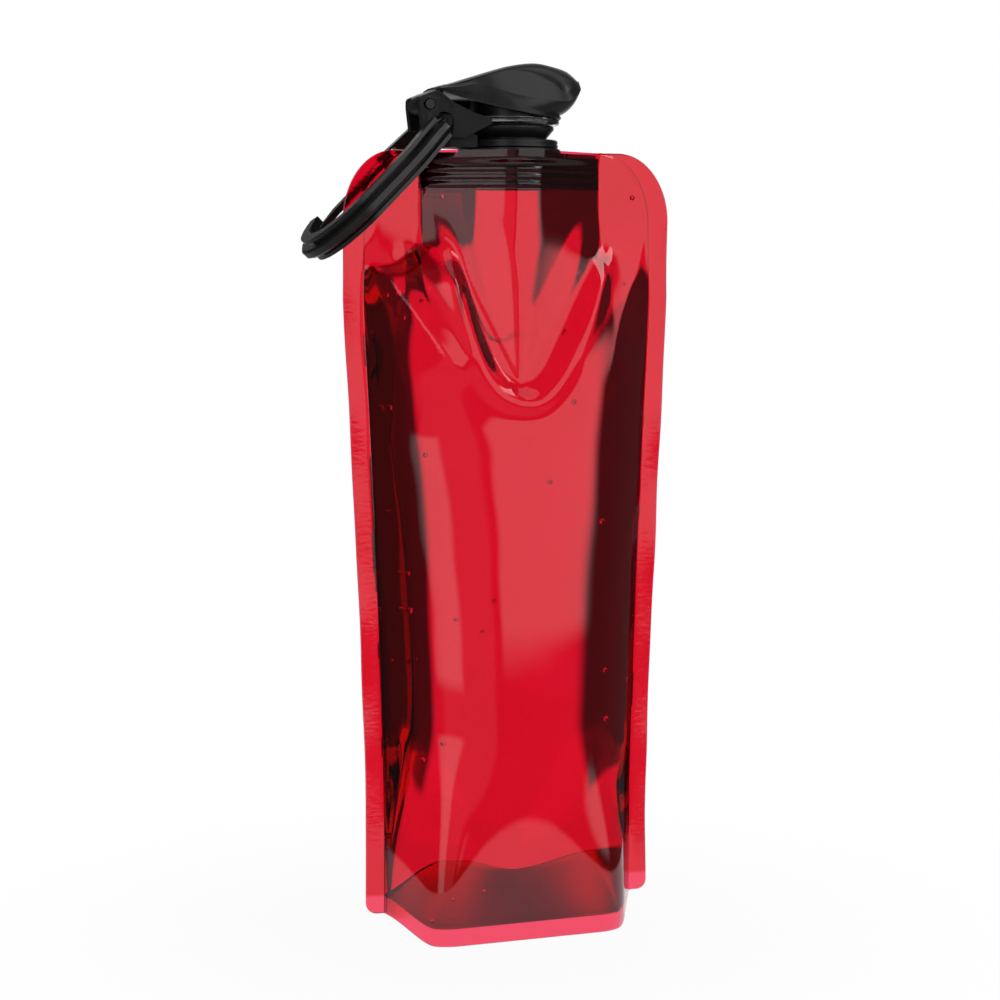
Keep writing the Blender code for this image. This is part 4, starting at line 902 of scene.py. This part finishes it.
# %% Curves of the lid
LID_RIM_RADIUS = 0.0177
LID_RIM_RISE = 0.0088
LID_TIP = 0.0257
PIN_X = (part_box("hinge_pin")[0].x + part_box("hinge_pin")[1].x) / 2 - NECK
PIN_Z = (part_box("hinge_pin")[0].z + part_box("hinge_pin")[1].z) / 2
LID_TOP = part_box("lid_shell")[1].z
LID_RIM_LOW = LID_TOP - 0.0193
LID_BACK = PIN_X + 0.0036
BAND_FULL_AT = -0.0170
BAND_AT_HINGE = 0.35          # share of the rim's band that is left there


def below_top(points):
    """A smooth curve along the lid, given as drops in mm below its highest point."""
    return lambda x: LID_TOP - curve_through([(at * MM, drop * MM) for at, drop in points], x)


def across_lid(points):
    """A smooth curve of half widths along the lid, in mm."""
    return lambda x: curve_through([(at * MM, half * MM) for at, half in points], x)


lid_ridge = below_top([(-30, 9.4), (-25, 8.5), (-15, 5.5), (-7, 3.0), (0, 1.1), (8.5, 0), (15, 0.9),
                       (21, 2.5), (25.7, 4.8)])
belt_height = below_top([(-30, 10.0), (-22, 9.5), (-16.5, 8.6), (-12, 9.5), (-2, 12.2), (8, 13.3),
                         (17, 13.4), (21.5, 11.2), (25.7, 7.8)])
facet_height = below_top([(-30, 9.7), (-20, 8.0), (-15, 6.5), (-9, 4.6), (-2.6, 3.2), (3, 3.5),
                          (8, 5.1), (13, 7.7), (16.5, 11.2), (19, 10.3), (25.7, 5.2)])
belt_half = across_lid([(-30, 9.0), (-20, 12.4), (-12, 15.5), (-3, 17.1), (10, 17.8), (25.7, 17.8)])
facet_half = across_lid([(-30, 7.0), (-15, 8.2), (-3, 8.0), (8, 10.0), (13, 12.8), (17.2, 16.8),
                         (25.7, 16.8)])


def rim_half(extra):
    wide = LID_RIM_RADIUS / MM
    points = [(-30, 9.0), (-20, 12.2), (-12, 15.2), (-3, wide), (17.7, wide)]
    return across_lid([(at, half + extra / MM) for at, half in points])


def rim_height(up):
    """The rim sweeps up to the hinge, where its band is thinner."""
    def height(x):
        rise = ((LID_RIM_RADIUS - x) / (LID_RIM_RADIUS - LID_BACK))**2
        band = BAND_AT_HINGE + (1 - BAND_AT_HINGE) * smooth(LID_BACK, BAND_FULL_AT, x)
        return LID_RIM_LOW + LID_RIM_RISE * rise + up * band
    return height


print(f"lid: {(LID_TIP - LID_BACK) / MM:.1f} mm from hinge end to nose, {LID_TOP / MM:.1f} mm up")

# %% [markdown]
# A ring goes from the hinge end along one flank, round the nose and back. The outside is a
# stack of them: the beaded band, the side that bulges out to the belt, then the facets, which
# close over the top at the ridge.

# %% Rings of the lid
END_POINTS, FLANK_POINTS, NOSE_POINTS = 6, 40, 61
SIDE_RINGS, FACET_RINGS = 8, 22
NOSE_START = -0.0030
NOSE_ROUND = 0.0050
BEAD = 0.0003
BAND = 0.0015
RIM_PROFILE = ((0.0, 0.0), (BEAD, 0.0003), (BEAD, 0.0008), (0.0, 0.0011), (0.0, BAND))    # out, up
SIDE_OUT, SIDE_WIDE = 0.0006, 0.0002      # how far the side bulges, at the nose and across
FACET_BACK = (0.0004, 0.0006)             # how far the facets start from the hinge end, and lean


def lid_ring(back, tip, half, height):
    """One ring of the lid, from its hinge end round the nose, as an array of points."""
    end = np.linspace(0.0, 1.0, END_POINTS + 1)[:-1]
    flank = np.linspace(0.0, 1.0, FLANK_POINTS + 1)[:-1]
    turn = np.linspace(0.0, math.pi / 2, NOSE_POINTS)
    end_x, flank_x = np.full(END_POINTS, back), back + (NOSE_START - back) * flank
    nose_x = NOSE_START + (tip - NOSE_START) * np.sin(turn)
    x = np.concatenate([end_x, flank_x, nose_x])
    y = np.concatenate([half(end_x) * end, half(flank_x), half(nose_x) * np.cos(turn)])
    x, y = np.concatenate([x, x[-2:0:-1]]), np.concatenate([y, -y[-2:0:-1]])
    return np.stack([x + NECK, y, height(x)], axis=-1)


def facet_ring(share):
    """A ring over the top, from the facets' lower edge at share 0 to the ridge at share 1."""
    turn, round_off = math.radians(90 * share), math.radians(30 + 60 * share)
    start, lean = FACET_BACK
    return lid_ring(LID_BACK + start + lean * share, LID_TIP - NOSE_ROUND * (1 - math.cos(round_off)),
                    lambda x: facet_half(x) * math.cos(turn),
                    lambda x: facet_height(x) + (lid_ridge(x) - facet_height(x)) * math.sin(turn))


def lid_outside():
    rings = [lid_ring(LID_BACK, LID_RIM_RADIUS + out, rim_half(out), rim_height(up))
             for out, up in RIM_PROFILE]
    band = rings[-1]
    side = lid_ring(LID_BACK, (LID_RIM_RADIUS + LID_TIP) / 2 + SIDE_OUT,
                    lambda x: (rim_half(0.0)(x) + belt_half(x)) / 2 + SIDE_WIDE,
                    lambda x: (rim_height(BAND)(x) + belt_height(x)) / 2)
    belt = lid_ring(LID_BACK, LID_TIP, belt_half, belt_height)
    for share in np.linspace(0, 1, SIDE_RINGS + 1)[1:]:
        bulge = share * (1 - share) * 4
        rings.append((1 - share) * band + share * belt + bulge * (side - (band + belt) / 2))
    return rings + [facet_ring(share) for share in np.linspace(0.0, 1.0, FACET_RINGS)]


outside = lid_outside()
print(f"lid: {len(outside)} rings of {len(outside[0])} points outside")

# %% [markdown]
# The hollow inside is four rings more, from the middle line of its ceiling out and down to the
# rim. Its last ring meets the first one of the band, so that the lid is one closed skin.

# %% Lid
LID_WALL = 0.0013
HOLLOW_BACK, HOLLOW_TIP = 0.006, 0.0084   # from the walls to the ends of the ceiling's middle line
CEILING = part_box("seal_carrier")[1].z + GAP
CEILING_OVER_RIM = 0.0004
LID_SHARP = 14.0              # degrees


def lid_hollow():
    """The inside, from the ceiling's middle line out and down to the rim."""
    inner, flat = rim_half(-LID_WALL), rim_height(0.0)
    back, tip = LID_BACK + LID_WALL, LID_RIM_RADIUS - LID_WALL

    def ceiling(x):
        return np.maximum(CEILING, flat(x) + CEILING_OVER_RIM)

    rings = [lid_ring(back + (HOLLOW_BACK - LID_WALL) * (1 - share), tip - HOLLOW_TIP * (1 - share),
                      lambda x: inner(x) * share, ceiling) for share in (0.0, 0.5, 1.0)]
    return rings + [lid_ring(back, tip, inner, flat)]


def dressed(name, mesh, finish, stands_for, sharp):
    """Merges a made mesh, turns its faces outwards and lets it ride as the solid that it stands for."""
    merge(mesh, turn_outwards)
    mesh.materials.clear()
    mesh.materials.append(finish)
    shade(mesh, sharp)
    piece = put(name, mesh)
    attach(piece, BODY_OF[stands_for])
    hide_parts(stands_for)
    return piece


def lid_cover():
    rings = lid_hollow() + outside
    mesh = bpy.data.meshes.new("lid_cover")
    faces = grid_faces(len(rings), len(rings[0]), closed=True)
    mesh.from_pydata([tuple(p) for p in np.concatenate(rings)], [], faces)
    return dressed("lid_cover", mesh, RESIN, "lid_shell", LID_SHARP)


cover = lid_cover()
print(f"lid: {len(cover.data.polygons)} faces in the cover")

# %% [markdown]
# The lid's knuckle is the arm that reaches from its hinge end round the pin. It is flat from
# side to side, so it is made as a flat curve, an outline with the pin's hole in it, which
# Blender fills, gives a width and a fine bevel, and which then stands up as a mesh.

# %% Knuckle of the lid
KNUCKLE_RADIUS = 0.0034
KNUCKLE_HALF = 0.0050
KNUCKLE_EDGE = 0.00015
KNUCKLE_ARC = (100, 330, 48)  # degrees round the pin, before the arm leaves for the lid; points
PIN_HOLE = 0.0019
HOLE_POINTS = 40


def round_pin(radius, turns):
    return [(PIN_X + radius * math.cos(a), PIN_Z + radius * math.sin(a)) for a in turns]


def knuckle():
    curve = bpy.data.curves.new("lid_knuckle", "CURVE")
    curve.dimensions = "2D"
    curve.fill_mode = "BOTH"
    curve.extrude = KNUCKLE_HALF - KNUCKLE_EDGE
    curve.bevel_depth = KNUCKLE_EDGE
    curve.bevel_resolution = 2
    rim = float(rim_height(0.0)(np.array(LID_BACK)))
    arm = round_pin(KNUCKLE_RADIUS, [math.radians(turn) for turn in np.linspace(*KNUCKLE_ARC)])
    arm += [(LID_BACK + 0.0010, PIN_Z + 0.0020), (LID_BACK + 0.0030, rim + 0.0006),
            (LID_BACK + 0.0030, rim + 0.0020), (LID_BACK - 0.0004, PIN_Z + 0.0050)]
    hole = round_pin(PIN_HOLE, np.linspace(0, 2 * math.pi, HOLE_POINTS + 1)[:-1])
    for outline in (arm, hole):
        line = curve.splines.new("POLY")
        line.points.add(len(outline) - 1)
        line.use_cyclic_u = True
        for point, (x, z) in zip(line.points, outline):
            point.co = (x + NECK, z, 0, 1)
    holder = put("lid_knuckle_outline", curve)
    mesh = shown_mesh(holder)
    bpy.data.objects.remove(holder)
    mesh.transform(Matrix.Rotation(math.radians(90), 4, "X"))
    return dressed("lid_knuckle", mesh, RESIN, "lid_shell", PLAIN_SHARP)


print(f"lid: {len(knuckle().data.polygons)} faces in its knuckle")

# %% [markdown]
# The base is a third sheet. Its edge is welded inside the other two as a skirt, and its middle
# stands up inside as a fold, like a hipped roof that the water leans on. It is made from one
# closed outline that shrinks in steps towards the fold's line and climbs to it.

# %% Base gusset
GUSSET_FOLD = 0.0150
GUSSET_FOLD_ENDS = 0.0190
GUSSET_HIPS = (0.0200, 0.0080)    # left and right end; the left one is pulled further in
GUSSET_HANG = 1.05
SKIRT_INSET = 0.00075
SKIRT_RINGS, FLOOR_RINGS = 7, 25
QUARTER_POINTS = 73


def base_outline(inset):
    """The base's outline, drawn in from the sheets: right, front or back half after half."""
    half = HALF_BASE - SIDE_SEAL
    run = half - BASE_CORNER
    across = inset * math.hypot(run, BASE_DEPTH) / BASE_DEPTH
    corner = BASE_CORNER - across + inset * run / BASE_DEPTH
    share = np.linspace(0, 1, QUARTER_POINTS)
    x, y = base_section(np.full_like(share, half - across), np.full_like(share, BASE_DEPTH - inset),
                        share, corner)
    quarter = list(zip(x, y))
    loop = quarter[:-1] + [(-x, y) for x, y in quarter[::-1]][:-1]
    loop += [(-x, -y) for x, y in quarter[:-1]] + [(x, -y) for x, y in quarter[::-1]][:-1]
    return np.array(loop)


def fold_ring(loop, share):
    """A ring of the folded floor: share 1 at its edge, 0 along the fold's line."""
    x, y = loop[:, 0], loop[:, 1]
    ridge = GUSSET_FOLD + (GUSSET_FOLD_ENDS - GUSSET_FOLD) * smooth(0.0, BASE_CORNER, np.abs(x))
    drawn_in = 1 - np.where(x < 0, *GUSSET_HIPS) / np.abs(x).max() * (1 - share)
    height = BASE_SEAL + side_lift(x) * share + ridge * (1 - share)**GUSSET_HANG
    return np.stack([x * drawn_in, y * share, height], axis=-1)


def base_gusset():
    loop = base_outline(SKIRT_INSET)
    x, y = loop[:, 0], loop[:, 1]
    rings = [np.stack([x + NECK, y, side_lift(x) + up], axis=-1)
             for up in np.linspace(0, BASE_SEAL, SKIRT_RINGS)]
    rings += [fold_ring(loop, share) + (NECK, 0, 0) for share in np.linspace(1, 0, FLOOR_RINGS + 1)[1:]]
    weld = np.repeat([1.0, 0.0], [SKIRT_RINGS * len(loop), FLOOR_RINGS * len(loop)])
    # the welded skirt is the foot too, painted pinker for the bright light through it
    piece = mesh_object("base_sheet", np.concatenate(rings),
                        grid_faces(len(rings), len(loop), closed=True), FILM, weld=weld, foot=weld)
    thicken(piece, WALL)
    print(f"base_sheet: {len(rings)} rings of {len(loop)} points")
    return piece


gusset = base_gusset()
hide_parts("base_gusset_film")
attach(gusset, "bottle")

# %% [markdown]
# The water isn't a part of the bottle, but the pouch is full of it, and nearly all that the
# eye takes for the pouch is light bent by it: the dark edges, the bright middle. So the fill
# is one closed body, as wide as the sheets and a hair into their walls, because light that
# meets film and water with no air between them passes as it does in the real one.

# %% Water
WATER_TOP = 0.2692
INTO_WALL = 0.00016
ABOVE_BASE = 0.0001
FILL_REACH = 0.985            # share of the width between the side seals
HALF_THIN = 0.00005           # the least from the middle plane to the water's skin
LOW_ROWS, HIGH_ROWS, LOW_ROWS_END = 12, 150, 0.02
FILL_COLUMNS = 121
CLOSING_RINGS = 11


def water_rows():
    return np.concatenate([np.linspace(BASE_SEAL + ABOVE_BASE, LOW_ROWS_END, LOW_ROWS),
                           np.linspace(LOW_ROWS_END, WATER_TOP, HIGH_ROWS)[1:]])


def water_side(side):
    """One half of the water's skin: a sheet's middle, moved out along its normals."""
    reach = (1 - SEAL_SHARE) * FILL_REACH
    x, y, z, _ = sheet_grid(side, water_rows(), np.linspace(-reach, reach, FILL_COLUMNS))
    place = np.stack([x, y, z], axis=-1)
    normal = np.cross(np.gradient(place, axis=1), np.gradient(place, axis=0))
    normal /= np.linalg.norm(normal, axis=-1, keepdims=True)
    normal *= -side * np.sign(normal[..., 1:2] + 1e-12)
    place = place + normal * (WALL / 2 - INTO_WALL)
    place[..., 1] = side * np.maximum(side * place[..., 1], HALF_THIN)
    return place


def water_body():
    rings = [np.concatenate([f, b[::-1]]) for f, b in zip(water_side(-1), water_side(1))]
    floor = [fold_ring(rings[0], share) + (0, 0, ABOVE_BASE)
             for share in np.linspace(0, 1, FLOOR_RINGS + 1)[:-1]]
    x, y, z = rings[-1].T
    surface = [np.stack([x * (0.5 + 0.5 * share), y * share, z], axis=-1)
               for share in np.linspace(1, 0, CLOSING_RINGS + 1)[1:]]
    rings = floor + rings + surface
    count = len(rings[0])
    points = np.concatenate(rings) + np.array([NECK, 0, 0])
    piece = mesh_object("water_fill", points, grid_faces(len(rings), count, closed=True), WATER)
    piece.data.set_sharp_from_angle(angle=math.radians(CRISP))
    print(f"water_fill: {count} points round, {len(rings)} rings")
    return piece


fill = water_body()
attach(fill, "bottle")

# %% [markdown]
# A filled bottle has a few small air bubbles that cling to the film. They repeat, so they are
# made with Geometry Nodes: points are scattered on the water's skin from a fixed seed, a small
# sphere sits on each, and the spheres are then made plain mesh, a little inside the water.

# %% Bubbles
BUBBLE_DENSITY = 650.0        # per square metre of the water's skin
BUBBLE_SEED = 11
BUBBLE_SMALLEST = 0.0006
BUBBLE_LARGEST = 0.0012
BUBBLE_DEPTH = 0.0016         # of its middle, below the water's skin
BUBBLE_INDEX = 1.33           # a bubble's own, 0.75 in water, can't be set: the least is 1
BUBBLE_INPUTS = {"Density": BUBBLE_DENSITY, "Smallest": BUBBLE_SMALLEST, "Largest": BUBBLE_LARGEST,
                 "Depth": BUBBLE_DEPTH, "Seed": BUBBLE_SEED}


def bubble_tree(finish):
    tree = bpy.data.node_groups.new("bubbles", "GeometryNodeTree")
    face = tree.interface
    face.new_socket("Geometry", in_out="INPUT", socket_type="NodeSocketGeometry")
    for name, value in BUBBLE_INPUTS.items():
        kind = "NodeSocketInt" if isinstance(value, int) else "NodeSocketFloat"
        face.new_socket(name, in_out="INPUT", socket_type=kind)
    face.new_socket("Geometry", in_out="OUTPUT", socket_type="NodeSocketGeometry")

    def node(kind, values=(), **settings):
        return make_node(tree, kind, settings, values).outputs

    given = node("NodeGroupInput")
    skin = node("GeometryNodeDistributePointsOnFaces",
                {"Mesh": given["Geometry"], "Density": given["Density"], "Seed": given["Seed"]})
    inward = node("ShaderNodeMath", {0: given["Depth"], 1: -1.0}, operation="MULTIPLY")
    deep = node("ShaderNodeVectorMath", {0: skin["Normal"], "Scale": inward[0]}, operation="SCALE")
    sunk = node("GeometryNodeSetPosition", {"Geometry": skin["Points"], "Offset": deep[0]})
    size = node("FunctionNodeRandomValue",
                {2: given["Smallest"], 3: given["Largest"], "Seed": given["Seed"]})
    ball = node("GeometryNodeMeshIcoSphere", {"Radius": 1.0, "Subdivisions": 3})
    balls = node("GeometryNodeInstanceOnPoints",
                 {"Points": sunk["Geometry"], "Instance": ball["Mesh"], "Scale": size[1]})
    whole = node("GeometryNodeRealizeInstances", {"Geometry": balls[0]})
    round_balls = node("GeometryNodeSetShadeSmooth", {"Geometry": whole[0]})
    clear_balls = node("GeometryNodeSetMaterial", {"Geometry": round_balls[0], "Material": finish})
    node("NodeGroupOutput", {"Geometry": clear_balls[0]})
    return tree


def bubbles():
    air = Finish("air_bubble").set(Base_Color=(1.0, 1.0, 1.0), Roughness=0.0, IOR=BUBBLE_INDEX,
                                   Transmission_Weight=1.0)
    piece = put("air_bubbles", fill.data.copy())
    maker = piece.modifiers.new("bubbles", "NODES")
    maker.node_group = bubble_tree(air)
    for item in maker.node_group.interface.items_tree:
        if item.name in BUBBLE_INPUTS:
            maker[item.identifier] = BUBBLE_INPUTS[item.name]
    mesh = shown_mesh(piece)
    piece.modifiers.clear()
    piece.data = mesh
    print(f"air_bubbles: {len(mesh.polygons)} faces")
    return piece


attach(bubbles(), "bottle")

# %% [markdown]
# The studio is plain. A pale floor runs to the horizon and fades into plain white close to
# the bottle, so that it meets a white sky. Further off only the camera sees the floor:
# otherwise its white would shine up through the whole pouch.

# %% Floor
FLOOR_HALF = 6.0
FLOOR_DROP = 0.0003           # below the bottle, so that the two never share a plane
FLOOR_REAL = (0.16, 0.18)     # from here on, round the bottle, only the camera sees the floor
FLOOR_WHITE_AT = 0.24         # from here on it is plain white
FLOOR_WHITE = 0.95            # share of plain white in it, right under the bottle
FLOOR_DARK, FLOOR_LIGHT = (0.86, 0.86, 0.865), (0.90, 0.90, 0.90)


def floor_finish():
    floor = Finish("pale_floor")
    tone = floor.blend(floor.noise(30.0, detail=4.0), FLOOR_DARK, FLOOR_LIGHT)
    floor.set(Base_Color=tone, Roughness=0.6, IOR=1.3)
    east, north, _ = floor.split(floor.place)
    away = (east * east + north * north) ** 0.5
    plain = floor.shader.outputs[0]
    lit = floor.mixed(floor.ramp(away, 0.0, FLOOR_WHITE_AT, FLOOR_WHITE, 1.0), plain,
                      floor.node("Emission"))
    seen = floor.node("LightPath", output="Is Camera Ray")
    unseen = (1.0 - seen) * floor.ramp(away, *FLOOR_REAL)
    return floor.show(floor.mixed(unseen, lit, floor.node("BsdfTransparent")))


def make_floor():
    bm = bmesh.new()
    bmesh.ops.create_grid(bm, x_segments=8, y_segments=8, size=FLOOR_HALF)
    mesh = bpy.data.meshes.new("floor")
    bm.to_mesh(mesh)
    bm.free()
    mesh.materials.append(floor_finish())
    floor = put("floor", mesh)
    floor.location.z = -FLOOR_DROP


make_floor()
print(f"floor: {2 * FLOOR_HALF:.0f} m square, real to {FLOOR_REAL[0] / MM:.0f} mm from the middle")

# %% [markdown]
# What bends through the water and shines off the film is the room: a bright wall beyond the
# bottle, a dim one behind the camera, dark sides, and two tall soft panels in front that give
# the film its long highlights. Light that the film or the water has bent doesn't see them, so
# they stay on the film's face. The camera itself sees plain white in place of the room.

# %% Room
SKY_WHITE = 1.0
WHITE_WALL = 1.05
REAR_WALL = 0.25
DARK_ROOM = 0.08
DIM_GROUND = 0.22
WALL_AZIMUTH = math.radians(-23.5)
WALL_EDGE = math.cos(math.radians(18.5))
EDGE_SOFT = 0.012
GROUND_LINE = (-0.36, -0.26)
CEILING_LINE = (0.30, 0.55)
CEILING_SHARE = 0.06          # of the walls' light
PANEL_GLOW = 1.35
PANEL_TOP = (0.42, 0.58)
RIGHT_SPANS, RIGHT_FOOT = (-1.5, 2.5, 58.0, 68.0), (-0.145, -0.095)
LEFT_SPANS, LEFT_FOOT = (-48.0, -43.5, -31.0, -26.5), (-0.20, -0.16)


def panel(room, azimuth, up, spans, foot):
    """A tall soft panel. spans are the azimuths, in degrees, between which it fades in and out."""
    first, full, fading, gone = spans
    wide = room.ramp(azimuth, first, full) * room.ramp(azimuth, fading, gone, 1.0, 0.0)
    return wide * room.ramp(up, *foot) * room.ramp(up, *PANEL_TOP, 1.0, 0.0)


def make_room():
    world = bpy.data.worlds.new("studio")
    world.use_nodes = True
    bpy.context.scene.world = world
    world.node_tree.nodes.clear()
    room = Graph(world.node_tree)
    east, north, up = room.split(room.node("TexCoord"))
    reach = (east * east + north * north).at_least(0.0001)
    ahead = north * math.cos(WALL_AZIMUTH) - east * math.sin(WALL_AZIMUTH)
    facing = ahead / reach**0.5
    wall = room.ramp(facing, WALL_EDGE - EDGE_SOFT, WALL_EDGE + EDGE_SOFT)
    rear = room.ramp(facing * -1.0, WALL_EDGE - EDGE_SOFT, WALL_EDGE + EDGE_SOFT)
    above = room.ramp(up, *GROUND_LINE)
    under_ceiling = room.ramp(up, *CEILING_LINE, 1.0, CEILING_SHARE)
    walls = DARK_ROOM + (wall * (WHITE_WALL - DARK_ROOM) + rear * REAR_WALL) * above * under_ceiling
    azimuth = east.bearing(north * -1.0) * (180.0 / math.pi)
    panels = (panel(room, azimuth, up, RIGHT_SPANS, RIGHT_FOOT)
              + panel(room, azimuth, up, LEFT_SPANS, LEFT_FOOT))
    bent = room.node("LightPath", output="Is Transmission Ray")
    level = walls + (1.0 - above) * DIM_GROUND + panels * (1.0 - bent) * PANEL_GLOW
    glow = room.node("Background", values={"Color": (1.0, 1.0, 1.0), "Strength": level})
    plain = room.node("Background", values={"Color": (1.0, 1.0, 1.0), "Strength": SKY_WHITE})
    seen = room.node("LightPath", output="Is Camera Ray")
    make_node(room.tree, "ShaderNodeOutputWorld", values={"Surface": room.mixed(seen, glow, plain)})
    return room


print(f"room: {len(make_room().tree.nodes)} nodes")

# %% [markdown]
# Two lamps shine on the bottle from its right: a large one high up, which lights the lid's top
# and the clip loop, and a small, brighter one lower down. Neither is seen by the camera or
# through the water. The sheets, the water and the bubbles lie one behind the other, so the
# light needs more bounces than usual to come through them all.

# %% Lamps and light
LAMP_AWAY = 1.4
LAMP_AIM = Vector((0, 0, 0.15))
BOUNCES = 20
CLEAR_BOUNCES = 16


def soft_box(name, azimuth, elevation, size, brightness):
    """A soft box that faces the bottle's middle. Azimuth 0 stands in front, to +X of it at 90."""
    data = bpy.data.lights.new(name, "AREA")
    data.shape = "RECTANGLE"
    data.size, data.size_y = size
    data.energy = brightness * math.pi * size[0] * size[1]
    box = put(name, data)
    a, e = math.radians(azimuth), math.radians(elevation)
    way = Vector((math.sin(a) * math.cos(e), -math.cos(a) * math.cos(e), math.sin(e)))
    box.location = LAMP_AIM + way * LAMP_AWAY
    box.rotation_euler = way.to_track_quat("Z", "Y").to_euler()
    box.visible_camera = False
    box.visible_transmission = False
    print(f"{name}: {data.energy:.2f} W")


soft_box("box_top", 70.0, 68.0, (1.3, 0.9), 0.95)
soft_box("box_right", 62.0, 37.0, (0.42, 0.42), 4.2)
bpy.context.scene.view_settings.view_transform = "Standard"
bpy.context.scene.cycles.max_bounces = BOUNCES
bpy.context.scene.cycles.transmission_bounces = BOUNCES
bpy.context.scene.cycles.transparent_max_bounces = CLEAR_BOUNCES
